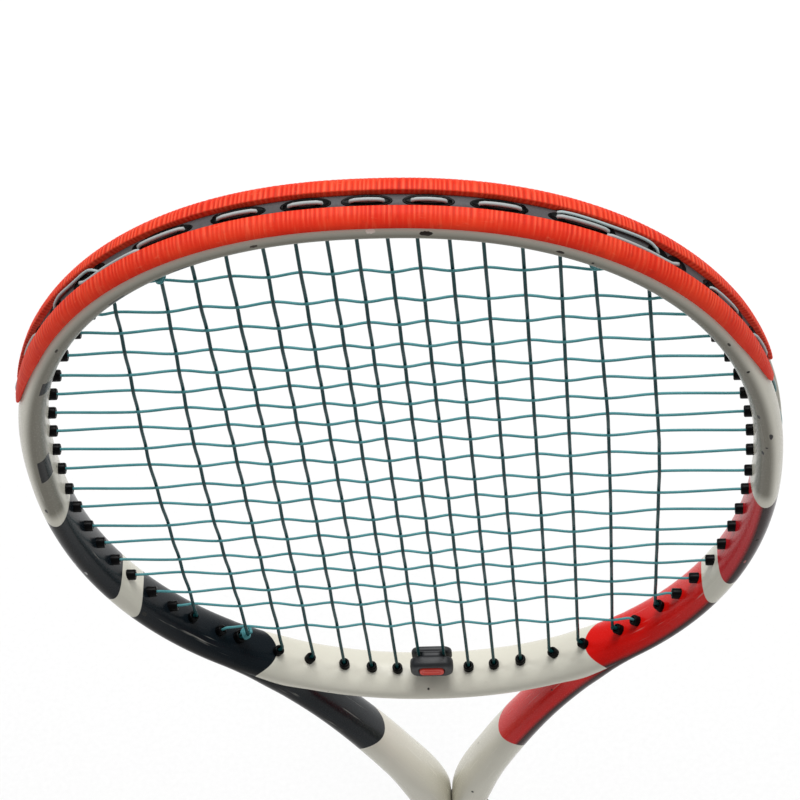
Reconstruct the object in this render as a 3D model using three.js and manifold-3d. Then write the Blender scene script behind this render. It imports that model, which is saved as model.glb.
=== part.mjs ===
// Tennis racket, strung, with its vibration dampener.
// Units are millimetres. +Z runs from the butt to the tip of the head, +X runs across the head,
// and -Y is the front face. The origin is the centre of the butt cap's end face.
import * as THREE from 'three';
import Module from 'manifold-3d';
import { mergeVertices } from 'three/addons/utils/BufferGeometryUtils.js';

const wasm = await Module();
wasm.setup();

// ---------------------------------------------------------------- driving dimensions
const LENGTH = 685; // overall, butt to tip
const GAP = 0.3; // clearance between neighbouring pieces

// The frame's tube: its wall is measured outwards in the plane of the strings, its beam front to back.
const WALL = 10.5;
const BEAM = 20;
const THROAT_WALL = 13.6;
const THROAT_BEAM = 22;
const SECTION_POWER = 2.15; // 2 would be an ellipse
const SHAFT_SQUARING = 2.2; // added to that power in the shaft
const SECTION_ANGLES = [38, 64, 94, 136]; // corners of half a section, in degrees from its outer side

// The head is two half superellipses along the middle of the wall.
const BUMPER_CREST = 2.2; // how far the bumper stands out of the frame
const HEAD_CENTRE = 521; // height of the widest place
const HEAD = {
  halfWidth: 128.5,
  centreZ: HEAD_CENTRE,
  upper: LENGTH - BUMPER_CREST - WALL / 2 - HEAD_CENTRE,
  lower: 170,
  upperPower: 2.25,
  lowerPower: 2.1,
};
const STATION_STEP = 15;
const ARM_STEP = 18;
const GUSSET_X = 42; // where the oval wall ends and the throat bridge begins

// The throat arms leave the oval and run together into two legs side by side in the handle.
const ARM = { leaveX: 88, reach: 48, waistX: 10, waistZ: 262, growTo: 40, squareFrom: 50 };
const SHAFT_TOP = 232;
const LEG = { x: 7, bottom: 26 };

// Grommet strips lie in a groove; their barrels line the string holes.
const GROOVE = { halfWidth: 4.0, depth: 2.8, pastShoulder: 52 };
const STRIP = { halfWidth: 3.6, headHalfWidth: 2.6, thickness: 1.0, headTop: 0.1, endRoom: 4 };
const BARREL = { radius: 2.2, bore: 1.35, standOut: 3.2, intoStrip: 0.05 };
const SHARED_BARREL = { radius: 2.6, bore: 2.03 };
const MIN_TIP_SPACING = 10;
const MIN_EXIT_SPACING = 8.5;
const LEAN = 8.5; // most that a hole's outer end moves along the frame to line it up with its string

const BUMPER = {
  end: 173, // along the frame from the tip
  taper: 32, // length of each tongue
  channel: 2.9, // half the width of the channel between the rails
  cover: 57, // how far round the section a rail reaches, in degrees
  edge: 1.0, // its thickness there
  endCover: 38,
  endCrest: 1.2,
  endEdge: 0.7,
};
const SIDE_STRIP_START = BUMPER.end + 0.5;
const HEAD_STRIP_END = BUMPER.end - 2;

const STRING = { radius: 0.65, weave: 0.85, sideStep: 1.8, sides: 4, mouth: 1.2 };
const FAN = 13; // the last stretch before a barrel, where a string may fan out
const MAIN_X = [5.05, 14.2, 24.4, 35.1, 47.3, 59, 72.7, 90.3];
const CROSS_TOP = 643.5;
const CROSS_GAPS = [
  17, 14.2, 13.7, 12.6, 11.9, 12.2, 12.2, 12.6, 13.5, 14.6, 13.3, 14.5, 12.9, 13.5, 12.3, 13.9, 13.8, 18.7,
];

// Four holes are shared by a string and the tied-off end of another one, side by side.
const SHARED = { 'head6-': -1, 'head6+': -1, 'head5+': 1, 'throat6-': 1 };
const TAIL_STEP = 1.6;
const KNOT = { reach: 3.1, radius: 2.7, bore: 1.95, height: 2.4, round: 0.5, stand: 0.3 };

const HANDLE = { top: 200, bottom: 6, halfX: 15.8, halfY: 13.8, chamfer: 6.2 };
const CHAMFER_GROWTH = 0.59; // a bevel widens by this share of any growth of the handle
const GRIP = { top: 196, bottom: 25, thickness: 1.6 };
const TAPE = { bottom: 180, top: 192, thickness: 0.7, round: 0.6 };
const COLLAR = { bottom: 196.6, shoulder: 201, top: 210, thickness: 2.4, topShrink: 0.2 };
const CAP = {
  height: 24.5, rim: 1.2, flareTop: 7, waist: 14, flareX: 20.2, flareY: 17.8, neckX: 17.6, neckY: 15.6,
  rimChamfer: 7.4, flareChamfer: 7.8, waistChamfer: 7.3, neckChamfer: 7,
};
const BADGE = { halfX: 13, halfY: 10.5, depth: 2, chamfer: 4 };

const DAMPENER = {
  z: 366, width: 17, height: 10, frontY: -5.8, backY: 3.6, slot: 1.1,
  corner: 3.5, backShrink: 1, curveSegments: 4,
};
const INSERT = { width: 9.6, height: 5.2, depth: 1.2, corner: 1.8, standOut: 0.4 };

const PAST = 6; // cutters run this far beyond what they cut
const FAR = 400; // larger than any cut piece

// ---------------------------------------------------------------- colours
const COLOURS = {
  paint: 0xe4e2d6,
  bumper: 0xef5032,
  grommet: 0x1b1c1f,
  channel: 0x34363a,
  string: 0x2f6f73,
  pallet: 0xb9a98a,
  grip: 0x17181a,
  cap: 0x1d1e20,
  badge: 0xd8d8d4,
  tape: 0x26282b,
  collar: 0x101113,
  dampener: 0x14161a,
  insert: 0xe8492e,
};

// ---------------------------------------------------------------- solids and meshes
const group = new THREE.Group();
group.name = 'tennis_racket';

function addMesh(name, geometry, colour, roughness = 0.5) {
  const material = new THREE.MeshStandardMaterial({ color: colour, roughness, metalness: 0 });
  const mesh = new THREE.Mesh(geometry, material);
  mesh.name = name;
  group.add(mesh);
  return mesh;
}

// A closed mesh as a solid that can be cut and joined.
function solid(geometry) {
  const bare = geometry.clone();
  bare.deleteAttribute('normal');
  bare.deleteAttribute('uv');
  const merged = mergeVertices(bare, 1e-4);
  const mesh = new wasm.Mesh({
    numProp: 3,
    vertProperties: new Float32Array(merged.attributes.position.array),
    triVerts: new Uint32Array(merged.index.array),
  });
  return new wasm.Manifold(mesh);
}

function geometryOf(body) {
  const mesh = body.getMesh();
  const geometry = new THREE.BufferGeometry();
  geometry.setAttribute('position', new THREE.BufferAttribute(new Float32Array(mesh.vertProperties), 3));
  geometry.setIndex(new THREE.BufferAttribute(new Uint32Array(mesh.triVerts), 1));
  geometry.computeVertexNormals();
  return geometry;
}

function subtractAll(body, cutters) {
  return cutters.reduce((rest, cutter) => rest.subtract(cutter), body);
}

function joinAll(bodies) {
  return bodies.reduce((whole, body) => whole.add(body));
}

// A skin through a row of rings of equal point count, with both ends closed.
// Each ring is { outline: [Vector2], points: [Vector3] }, its outline running anticlockwise.
function loft(rings) {
  const count = rings[0].points.length;
  const positions = rings.flatMap((ring) => ring.points.flatMap((p) => [p.x, p.y, p.z]));
  const faces = [];
  for (let r = 0; r < rings.length - 1; r += 1) {
    for (let i = 0; i < count; i += 1) {
      const a = r * count + i;
      const b = r * count + ((i + 1) % count);
      faces.push(a, b, a + count, b, b + count, a + count);
    }
  }
  const lastRing = (rings.length - 1) * count;
  THREE.ShapeUtils.triangulateShape(rings[0].outline, []).forEach(([a, b, c]) => faces.push(a, c, b));
  THREE.ShapeUtils.triangulateShape(rings.at(-1).outline, []).forEach(([a, b, c]) => {
    faces.push(lastRing + a, lastRing + b, lastRing + c);
  });
  if (enclosedVolume(positions, faces) < 0) {
    faces.reverse();
  }
  const geometry = new THREE.BufferGeometry();
  geometry.setAttribute('position', new THREE.BufferAttribute(new Float32Array(positions), 3));
  geometry.setIndex(faces);
  geometry.computeVertexNormals();
  return geometry;
}

function enclosedVolume(positions, faces) {
  const corner = (i) => new THREE.Vector3().fromArray(positions, faces[i] * 3);
  let volume = 0;
  for (let i = 0; i < faces.length; i += 3) {
    volume += corner(i).dot(corner(i + 1).cross(corner(i + 2))) / 6;
  }
  return volume;
}

// ---------------------------------------------------------------- the oval of the head
// Two half superellipses; the angle is 0 at the tip and grows towards +X.
function ovalPoint(angle) {
  const upperHalf = Math.cos(angle) >= 0;
  const power = upperHalf ? HEAD.upperPower : HEAD.lowerPower;
  const reach = upperHalf ? HEAD.upper : HEAD.lower;
  const bend = (value) => Math.sign(value) * Math.abs(value) ** (2 / power);
  return new THREE.Vector2(
    HEAD.halfWidth * bend(Math.sin(angle)),
    HEAD.centreZ + reach * bend(Math.cos(angle)),
  );
}

// Evenly spaced stations along a curve given by many fine points, each with its outward normal.
function stationsAlong(fine, step) {
  const lengths = [0];
  fine.slice(1).forEach((p, i) => lengths.push(lengths[i] + p.distanceTo(fine[i])));
  const total = lengths.at(-1);
  const count = Math.round(total / step);
  const at = (s) => {
    const i = Math.max(1, lengths.findIndex((l) => l >= s - 1e-9));
    return fine[i - 1].clone().lerp(fine[i], (s - lengths[i - 1]) / (lengths[i] - lengths[i - 1]));
  };
  return Array.from({ length: count + 1 }, (_, k) => {
    const s = (total * k) / count;
    const p = at(s);
    const along = at(Math.min(total, s + 0.5)).sub(at(Math.max(0, s - 0.5))).normalize();
    return { s, p, normal: new THREE.Vector2(-along.y, along.x) };
  });
}

// A track is a list of stations; between them both place and normal run straight,
// so every piece built on one track fits its neighbours exactly.
class Track {
  constructor(stations) {
    this.stations = stations;
    this.end = stations.at(-1).s;
  }

  // Distance s is negative on the -X side, which mirrors the +X side.
  at(s) {
    const side = s < 0 ? -1 : 1;
    const distance = Math.min(Math.abs(s), this.end);
    const i = Math.max(1, this.stations.findIndex((station) => station.s >= distance - 1e-9));
    const a = this.stations[i - 1];
    const b = this.stations[i];
    const t = (distance - a.s) / (b.s - a.s);
    const p = a.p.clone().lerp(b.p, t);
    const normal = a.normal.clone().lerp(b.normal, t);
    return { x: side * p.x, z: p.y, nx: side * normal.x, nz: normal.y };
  }

  place(s, outwards, y) {
    const { x, z, nx, nz } = this.at(s);
    return new THREE.Vector3(x + nx * outwards, y, z + nz * outwards);
  }

  // The stations between two distances, with both ends added.
  stops(from, to) {
    const inner = this.stations.flatMap(({ s }) => [s, -s]).filter((s) => s > from + 0.5 && s < to - 0.5);
    return [from, ...new Set(inner.sort((a, b) => a - b)), to];
  }

  // The distance at which a test value turns positive.
  find(test, from, to) {
    let low = from;
    let high = to;
    for (let i = 0; i < 40; i += 1) {
      const middle = (low + high) / 2;
      if (test(middle) > 0) high = middle;
      else low = middle;
    }
    return (low + high) / 2;
  }

  sweep(from, to, sectionAt) {
    return loft(this.stops(from, to).map((s) => {
      const outline = sectionAt(s);
      return { outline, points: outline.map(({ x, y }) => this.place(s, x, y)) };
    }));
  }
}

function finePoints(point, count) {
  return Array.from({ length: count + 1 }, (_, i) => point(i / count));
}

const oval = new Track(stationsAlong(finePoints((t) => ovalPoint(Math.PI * t), 2000), STATION_STEP));

// The hairpin follows the oval to the shoulder, then the throat arm and the leg in the handle.
const leaveStation = oval.stations.findIndex(({ s, p }) => p.y < HEAD.centreZ && p.x < ARM.leaveX);

function hairpinStations() {
  const head = oval.stations.slice(0, leaveStation + 1);
  const last = head.at(-1);
  const heading = new THREE.Vector2(last.normal.y, -last.normal.x);
  const arm = new THREE.CubicBezierCurve(
    last.p,
    last.p.clone().addScaledVector(heading, ARM.reach),
    new THREE.Vector2(ARM.waistX, ARM.waistZ),
    new THREE.Vector2(LEG.x, SHAFT_TOP),
  );
  const armStations = stationsAlong(finePoints((t) => arm.getPoint(t), 400), ARM_STEP).slice(1);
  armStations.at(-1).normal.set(1, 0);
  armStations.forEach((station) => {
    station.s += last.s;
  });
  const legEnd = {
    s: armStations.at(-1).s + SHAFT_TOP - LEG.bottom,
    p: new THREE.Vector2(LEG.x, LEG.bottom),
    normal: new THREE.Vector2(1, 0),
  };
  return [...head, ...armStations, legEnd];
}

const hairpin = new Track(hairpinStations());
const leaveS = hairpin.stations[leaveStation].s;
const shaftS = hairpin.end - (SHAFT_TOP - LEG.bottom);
const widestS = oval.find((s) => HEAD.centreZ - oval.at(s).z, 0, oval.end);
const gussetS = oval.find((s) => GUSSET_X - oval.at(s).x, widestS, oval.end);

// ---------------------------------------------------------------- frame sections
// A rounded section. x is outwards, y is front to back.
function sectionPoint(degrees, wall, beam, power = SECTION_POWER) {
  const angle = THREE.MathUtils.degToRad(degrees);
  const bend = (value) => Math.sign(value) * Math.abs(value) ** (2 / power);
  return new THREE.Vector2((wall / 2) * bend(Math.cos(angle)), (beam / 2) * bend(Math.sin(angle)));
}

function outerAt(y, wall = WALL, beam = BEAM) {
  return (wall / 2) * (1 - (Math.abs(y) / (beam / 2)) ** SECTION_POWER) ** (1 / SECTION_POWER);
}

function frameSection(wall, beam, power = SECTION_POWER) {
  const half = SECTION_ANGLES.map((angle) => sectionPoint(angle, wall, beam, power));
  return [
    new THREE.Vector2(wall / 2, 0),
    ...half,
    new THREE.Vector2(-wall / 2, 0),
    ...half.map((p) => new THREE.Vector2(p.x, -p.y)).reverse(),
  ];
}

// The groove's lip, as a height above the middle of the wall.
const lip = outerAt(GROOVE.halfWidth);

// The slot that is cut along the outer side for the grommet strips.
function grooveSection() {
  const floor = lip - GROOVE.depth;
  return [
    new THREE.Vector2(floor, -GROOVE.halfWidth),
    new THREE.Vector2(lip + PAST, -GROOVE.halfWidth),
    new THREE.Vector2(lip + PAST, GROOVE.halfWidth),
    new THREE.Vector2(floor, GROOVE.halfWidth),
  ];
}

const grooveEnd = leaveS + GROOVE.pastShoulder;

function hairpinSection(s, margin = 0) {
  const distance = Math.abs(s);
  const grown = THREE.MathUtils.smoothstep(distance, grooveEnd, shaftS - ARM.growTo);
  const wall = THREE.MathUtils.lerp(WALL, THROAT_WALL, grown) + 2 * margin;
  const beam = THREE.MathUtils.lerp(BEAM, THROAT_BEAM, grown) + 2 * margin;
  const squared = THREE.MathUtils.smoothstep(distance, shaftS - ARM.squareFrom, shaftS);
  return frameSection(wall, beam, SECTION_POWER + SHAFT_SQUARING * squared);
}

function ovalSection() {
  return frameSection(WALL, BEAM);
}

// ---------------------------------------------------------------- holes for the strings
const crossZ = CROSS_GAPS.reduce((heights, gap) => [...heights, heights.at(-1) - gap], [CROSS_TOP]);
const tipOffset = -(WALL / 2 + BARREL.standOut);

// Where each string of the +X half would enter and leave the frame if it ran dead straight.
function naturalHoles() {
  const found = [];
  const add = (key, from, to, excess) => {
    const s = oval.find((t) => excess(oval.place(t, tipOffset, 0)), from, to);
    const out = oval.find((t) => excess(oval.place(t, layHeight(t), 0)), from, to);
    const lean = s > leaveS - 25 && s < gussetS ? 0 : LEAN;
    found.push({ key, s, out: THREE.MathUtils.clamp(out, s - lean, s + lean) });
  };
  MAIN_X.forEach((x, k) => {
    add(`head${k}`, 0, widestS, (p) => p.x - x);
    add(`throat${k}`, widestS, oval.end, (p) => x - p.x);
  });
  crossZ.forEach((z, j) => add(`cross${j}`, 0, oval.end, (p) => z - p.z));
  return found.sort((a, b) => a.s - b.s);
}

// Neighbouring holes that would run into each other are eased apart along the frame.
function easeApart(row, key, spacing) {
  for (let round = 0; round < 60; round += 1) {
    for (let i = 1; i < row.length; i += 1) {
      const push = (spacing - (row[i][key] - row[i - 1][key])) / 2;
      if (push > 0) {
        row[i - 1][key] -= push;
        row[i][key] += push;
      }
    }
  }
}

// Height of a side strip's outer face above the groove's lip.
const sideStripTop = GAP + STRIP.thickness - GROOVE.depth;

// Height above the frame's middle line at which the string lies on its strip outside the frame.
function layHeight(s) {
  const strip = Math.abs(s) < HEAD_STRIP_END ? STRIP.headTop : sideStripTop;
  return lip + strip + GAP + STRING.radius;
}

// Where a hole beyond the shoulder comes out of the arm, and how far along the hairpin that is.
function exitOnArm(tip, direction) {
  const probe = (t) => tip.clone().addScaledVector(direction, t);
  const heightOf = (p) => {
    let best = null;
    for (let s = leaveS - 40; s < shaftS; s += 0.5) {
      const { x, z, nx, nz } = hairpin.at(s);
      const dx = Math.abs(p.x) - x;
      const dz = p.z - z;
      const distance = Math.hypot(dx, dz);
      if (!best || distance < best.distance) {
        best = { s, distance, height: dx * nx + dz * nz };
      }
    }
    return best;
  };
  let low = WALL / 2;
  let high = 4 * WALL;
  for (let i = 0; i < 30; i += 1) {
    const middle = (low + high) / 2;
    if (heightOf(probe(middle)).height > layHeight(leaveS)) high = middle;
    else low = middle;
  }
  const exit = probe(high);
  return { exit, s: heightOf(exit).s };
}

// One hole: its barrel tip inside the hoop, its axis, and where the string comes out behind.
function makeHole(side, s, out) {
  const tip = oval.place(side * s, tipOffset, 0);
  const exit = oval.place(side * out, layHeight(out), 0);
  const axis = exit.clone().sub(tip).normalize();
  const onBridge = s > gussetS;
  if (onBridge || out < leaveS - 12) {
    return { side, tip, axis, exit, trackS: out, onBridge };
  }
  const found = exitOnArm(tip, axis);
  return { side, tip, axis, exit: found.exit, trackS: found.s, onBridge };
}

const holeRow = naturalHoles();
easeApart(holeRow, 's', MIN_TIP_SPACING);
easeApart(holeRow, 'out', MIN_EXIT_SPACING);

const holes = {};
holeRow.forEach(({ key, s, out }) => {
  holes[`${key}+`] = makeHole(1, s, out);
  holes[`${key}-`] = makeHole(-1, s, out);
});

function holeShift(name) {
  return name in SHARED ? (SHARED[name] * TAIL_STEP) / 2 : 0;
}

// A round bar along a hole's axis, measured from the barrel tip.
function barAlong(name, from, to, radius, sides) {
  const hole = holes[name];
  const bar = new THREE.CylinderGeometry(radius, radius, to - from, sides);
  bar.applyQuaternion(new THREE.Quaternion().setFromUnitVectors(new THREE.Vector3(0, 1, 0), hole.axis));
  const middle = hole.tip.clone().addScaledVector(hole.axis, (from + to) / 2);
  bar.translate(middle.x, middle.y + holeShift(name), middle.z);
  return bar;
}

function barrelSize(name) {
  return name in SHARED ? SHARED_BARREL : BARREL;
}

function holeDepth(name) {
  return holes[name].tip.distanceTo(holes[name].exit);
}

// ---------------------------------------------------------------- frame pieces
const holeNames = Object.keys(holes);
const hairpinHoles = holeNames.filter((name) => !holes[name].onBridge);
const bridgeHoles = holeNames.filter((name) => holes[name].onBridge);

function frameCutters(names, beyond = PAST) {
  return names.map((name) => {
    return solid(barAlong(name, -PAST, holeDepth(name) + beyond, barrelSize(name).radius + GAP, 6));
  });
}

function makeHairpin() {
  const tube = solid(hairpin.sweep(-hairpin.end, hairpin.end, (s) => hairpinSection(s)));
  const gussets = [1, -1].map((side) => {
    const ends = [side * (leaveS - 14), side * gussetS].sort((a, b) => a - b);
    return solid(oval.sweep(ends[0], ends[1], ovalSection));
  });
  const groove = solid(hairpin.sweep(-grooveEnd, grooveEnd, grooveSection));
  return subtractAll(joinAll([tube, ...gussets]), [groove, ...frameCutters(hairpinHoles)]);
}

// A sweep along the lower end of the oval, from one side through the middle to the other.
function bridgeSweep(section, from) {
  const half = oval.stops(from, oval.end);
  const right = half.map((s) => ({ s, side: 1 }));
  const left = half.slice(0, -1).reverse().map((s) => ({ s, side: -1 }));
  return loft([...right, ...left].map(({ s, side }) => {
    const outline = section(s);
    return { outline, points: outline.map((p) => oval.place(side * s, p.x, p.y)) };
  }));
}

// The space of the two throat arms with a clearance all round.
function armRoom() {
  return [[leaveS - 20, shaftS], [-shaftS, 20 - leaveS]].map(([from, to]) => (
    solid(hairpin.sweep(from, to, (s) => hairpinSection(s, GAP)))
  ));
}

function makeBridge() {
  const groove = solid(bridgeSweep(grooveSection, gussetS - 3));
  const body = solid(bridgeSweep(ovalSection, gussetS + GAP));
  return subtractAll(body, [groove, ...armRoom(), ...frameCutters(bridgeHoles)]);
}

// ---------------------------------------------------------------- bumper guard
// Two rails joined by a thin web in the string groove; the ends taper to tongues.
function bumperSection(s) {
  const taper = THREE.MathUtils.clamp((BUMPER.end - Math.abs(s)) / BUMPER.taper, 0, 1);
  const cover = THREE.MathUtils.lerp(BUMPER.endCover, BUMPER.cover, Math.sqrt(taper));
  const crest = THREE.MathUtils.lerp(BUMPER.endCrest, BUMPER_CREST, Math.sqrt(taper));
  const edge = THREE.MathUtils.lerp(BUMPER.endEdge, BUMPER.edge, taper);
  const webTop = lip + STRIP.headTop - STRIP.thickness - GAP;
  const skin = (degrees, lift) => sectionPoint(degrees, WALL + 2 * lift, BEAM + 2 * lift);
  const lipDegrees = 25;
  const outerCurve = [
    new THREE.Vector2(webTop, BUMPER.channel - 0.1),
    new THREE.Vector2(lip + crest - 0.25, BUMPER.channel),
    new THREE.Vector2(lip + crest, BUMPER.channel + 0.8),
    skin(THREE.MathUtils.lerp(lipDegrees, cover, 0.3), crest * 0.97),
    skin(THREE.MathUtils.lerp(lipDegrees, cover, 0.7), THREE.MathUtils.lerp(crest, edge, 0.4)),
    skin(cover, edge + GAP),
  ];
  const innerCurve = [
    skin(cover, GAP + 0.05),
    skin(THREE.MathUtils.lerp(lipDegrees, cover, 0.4), GAP + 0.2),
    new THREE.Vector2(lip + GAP + 0.15, GROOVE.halfWidth - GAP),
    new THREE.Vector2(lip - GROOVE.depth + GAP, GROOVE.halfWidth - GAP - 0.1),
  ];
  const half = [...outerCurve, ...innerCurve];
  return [...half, ...half.map((p) => new THREE.Vector2(p.x, -p.y)).reverse()];
}

const headStripHoles = hairpinHoles.filter((name) => holes[name].trackS < HEAD_STRIP_END);

function makeBumper() {
  const body = solid(oval.sweep(-BUMPER.end, BUMPER.end, bumperSection));
  const belowRails = 0.7 - (STRIP.thickness + 2 * GAP + STRING.radius);
  return subtractAll(body, frameCutters(headStripHoles, belowRails));
}

// ---------------------------------------------------------------- grommet strips
function stripSection(bottom, top, halfWidth) {
  return () => [
    new THREE.Vector2(bottom, -halfWidth),
    new THREE.Vector2(top, -halfWidth),
    new THREE.Vector2(top, halfWidth),
    new THREE.Vector2(bottom, halfWidth),
  ];
}

// A strip with one barrel for each hole; the strings' bores run right through.
// The cover is the space above the strip, which a leaning barrel must not reach into.
function makeStrip(base, cover, names) {
  const barrels = names.map((name) => {
    const depth = holeDepth(name) - STRING.radius - GAP - STRIP.thickness + BARREL.intoStrip;
    return solid(barAlong(name, 0, depth, barrelSize(name).radius, 6)).subtract(cover);
  });
  const bores = names.map((name) => {
    const sides = name in SHARED ? 6 : 4;
    return solid(barAlong(name, -PAST, holeDepth(name) + PAST, barrelSize(name).bore, sides));
  });
  return subtractAll(joinAll([base, ...barrels]), bores);
}

function makeHeadStrip() {
  const top = lip + STRIP.headTop;
  const part = (from, to, halfWidth, overrun) => (
    solid(oval.sweep(-HEAD_STRIP_END - overrun, HEAD_STRIP_END + overrun, stripSection(from, to, halfWidth)))
  );
  const base = part(top - STRIP.thickness, top, STRIP.headHalfWidth, 0);
  return makeStrip(base, part(top, top + PAST, PAST, PAST), headStripHoles);
}

function makeSideStrip(side) {
  const names = hairpinHoles.filter((name) => holes[name].side === side && !headStripHoles.includes(name));
  const top = lip + sideStripTop;
  const part = (from, to, halfWidth, overrun) => {
    const ends = [side * (SIDE_STRIP_START - overrun), side * (grooveEnd - STRIP.endRoom + overrun)];
    ends.sort((a, b) => a - b);
    return solid(hairpin.sweep(ends[0], ends[1], stripSection(from, to, halfWidth)));
  };
  const base = part(top - STRIP.thickness, top, STRIP.halfWidth, 0);
  return makeStrip(base, part(top, top + PAST, PAST, PAST), names);
}

function makeThroatStrip() {
  const top = lip + sideStripTop;
  const part = (from, to, halfWidth) => solid(bridgeSweep(stripSection(from, to, halfWidth), gussetS + GAP));
  const base = part(top - STRIP.thickness, top, STRIP.halfWidth);
  return subtractAll(makeStrip(base, part(top, top + PAST, PAST), bridgeHoles), armRoom());
}

// ---------------------------------------------------------------- strings
// Straight stretches between given corners, with one ring of the tube at each corner.
class Route extends THREE.Curve {
  constructor(corners) {
    super();
    this.corners = corners;
  }

  getPoint(t) {
    const place = t * (this.corners.length - 1);
    const i = Math.min(Math.floor(place + 1e-9), this.corners.length - 2);
    return this.corners[i].clone().lerp(this.corners[i + 1], place - i);
  }

  getPointAt(t) {
    return this.getPoint(t);
  }

  getTangent(t) {
    const i = Math.round(t * (this.corners.length - 1));
    const here = this.corners[i];
    const before = i > 0 ? here.clone().sub(this.corners[i - 1]).normalize() : new THREE.Vector3();
    const after = i < this.corners.length - 1 ? this.corners[i + 1].clone().sub(here).normalize()
      : new THREE.Vector3();
    return before.add(after).normalize();
  }

  getTangentAt(t) {
    return this.getTangent(t);
  }
}

function cord(corners, radius, sides) {
  const ring = Array.from({ length: sides }, (_, i) => {
    const angle = (2 * Math.PI * i) / sides;
    return new THREE.Vector2(radius * Math.cos(angle), radius * Math.sin(angle));
  });
  return new THREE.ExtrudeGeometry(new THREE.Shape(ring), {
    steps: corners.length - 1,
    extrudePath: new Route(corners),
    bevelEnabled: false,
  });
}

// A string runs straight on out of its barrel for a short way, or through its knot, before it bends.
function mouthOf(name) {
  const reach = name in SHARED ? KNOT.reach : STRING.mouth;
  return holes[name].tip.clone().addScaledVector(holes[name].axis, -reach);
}

// The run of each string seen from the front, as corners from one barrel to the other.
function runOf(fromName, toName, first, last) {
  return [mouthOf(fromName), first, last, mouthOf(toName)].map((p) => new THREE.Vector2(p.x, p.z));
}

const signOf = { '+': 1, '-': -1 };

function mainRuns() {
  return ['-', '+'].flatMap((half) => MAIN_X.map((x, k) => {
    const head = `head${k}${half}`;
    const throat = `throat${k}${half}`;
    const lineX = signOf[half] * x;
    const first = new THREE.Vector3(lineX, 0, holes[head].tip.z - FAN);
    const last = new THREE.Vector3(lineX, 0, holes[throat].tip.z + FAN);
    const corners = runOf(head, throat, first, last);
    return { key: `main${k}${half}`, order: signOf[half] * (k + 0.5), corners };
  }));
}

function crossRuns() {
  return crossZ.map((z, j) => {
    const left = `cross${j}-`;
    const right = `cross${j}+`;
    const first = new THREE.Vector3(holes[left].tip.x + FAN, 0, z);
    const last = new THREE.Vector3(holes[right].tip.x - FAN, 0, z);
    return { key: `cross${j}`, order: j, corners: runOf(left, right, first, last) };
  });
}

// Where two straight stretches a-b and c-d cross, as shares of their lengths.
function crossing(a, b, c, d) {
  const u = b.clone().sub(a);
  const v = d.clone().sub(c);
  const turn = u.cross(v);
  if (Math.abs(turn) < 1e-9) return null;
  const w = c.clone().sub(a);
  const t = w.cross(v) / turn;
  const r = w.cross(u) / turn;
  return t > 0.001 && t < 0.999 && r > 0.001 && r < 0.999 ? { t, r } : null;
}

// Every crossing puts the main on one side and the cross on the other, turn and turn about.
function weave(mains, crosses) {
  const bends = new Map([...mains, ...crosses].map((run) => [run.key, []]));
  mains.forEach((main) => crosses.forEach((cross) => {
    for (let i = 0; i < 3; i += 1) {
      for (let j = 0; j < 3; j += 1) {
        const hit = crossing(main.corners[i], main.corners[i + 1], cross.corners[j], cross.corners[j + 1]);
        if (hit) {
          const side = (Math.floor(main.order) + cross.order) % 2 === 0 ? 1 : -1;
          const at = main.corners[i].clone().lerp(main.corners[i + 1], hit.t);
          bends.get(main.key).push({ along: i + hit.t, at, y: side * STRING.weave });
          bends.get(cross.key).push({ along: j + hit.r, at, y: -side * STRING.weave });
        }
      }
    }
  }));
  return bends;
}

// The corners of one woven run, from its first barrel tip to its last.
function wovenRun(run, bends) {
  const knees = run.corners.map((at, i) => ({ along: i, at, y: 0 }));
  const crossings = bends.get(run.key);
  const clear = knees.filter((knee) => crossings.every((bend) => bend.at.distanceTo(knee.at) > 4.5));
  const settle = run.key.startsWith('main') ? [settlePoint(crossings)] : [];
  const all = [...new Set([...clear, knees[0], knees[3]]), ...crossings, ...settle];
  return all.sort((a, b) => a.along - b.along).map(({ at, y }) => new THREE.Vector3(at.x, y, at.y));
}

// Below its last crossing a main comes back to the middle plane within a short stretch.
function settlePoint(crossings) {
  const last = crossings.reduce((a, b) => (b.at.y < a.at.y ? b : a));
  const at = new THREE.Vector2(last.at.x, last.at.y - 6);
  return { along: last.along + 0.02, at, y: 0 };
}

// The way along the outside of the frame from one hole to the next.
function outsideLoop(fromName, toName, bow) {
  const from = holes[fromName];
  const to = holes[toName];
  const track = from.onBridge ? oval : hairpin;
  const start = from.side * from.trackS;
  let end = to.side * to.trackS;
  if (from.onBridge && from.side !== to.side) {
    end = from.side * (2 * oval.end - to.trackS);
  }
  const height = Math.max(layHeight(start), layHeight(end));
  const along = (share) => {
    const s = THREE.MathUtils.lerp(start, end, share);
    const overEnd = Math.abs(s) - oval.end;
    const folded = track === oval && overEnd > 0 ? -Math.sign(s) * (oval.end - overEnd) : s;
    return track.place(folded, height, bow);
  };
  const span = Math.abs(end - start);
  const near = Math.min(0.3, 3.2 / span);
  const middle = span > 18 ? [0.5] : [];
  return [near, ...middle, 1 - near].map(along);
}

function shifted(point, y) {
  return new THREE.Vector3(point.x, point.y + y, point.z);
}

// The two corners of a string inside a hole: at the barrel tip and where it turns outside.
function throughHole(name, y, outward) {
  const hole = holes[name];
  const inside = shifted(hole.tip.clone().addScaledVector(hole.axis, 1.5), y);
  const outside = shifted(hole.exit.clone().addScaledVector(hole.axis, -0.5), y);
  return outward ? [inside, outside] : [outside, inside];
}

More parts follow.
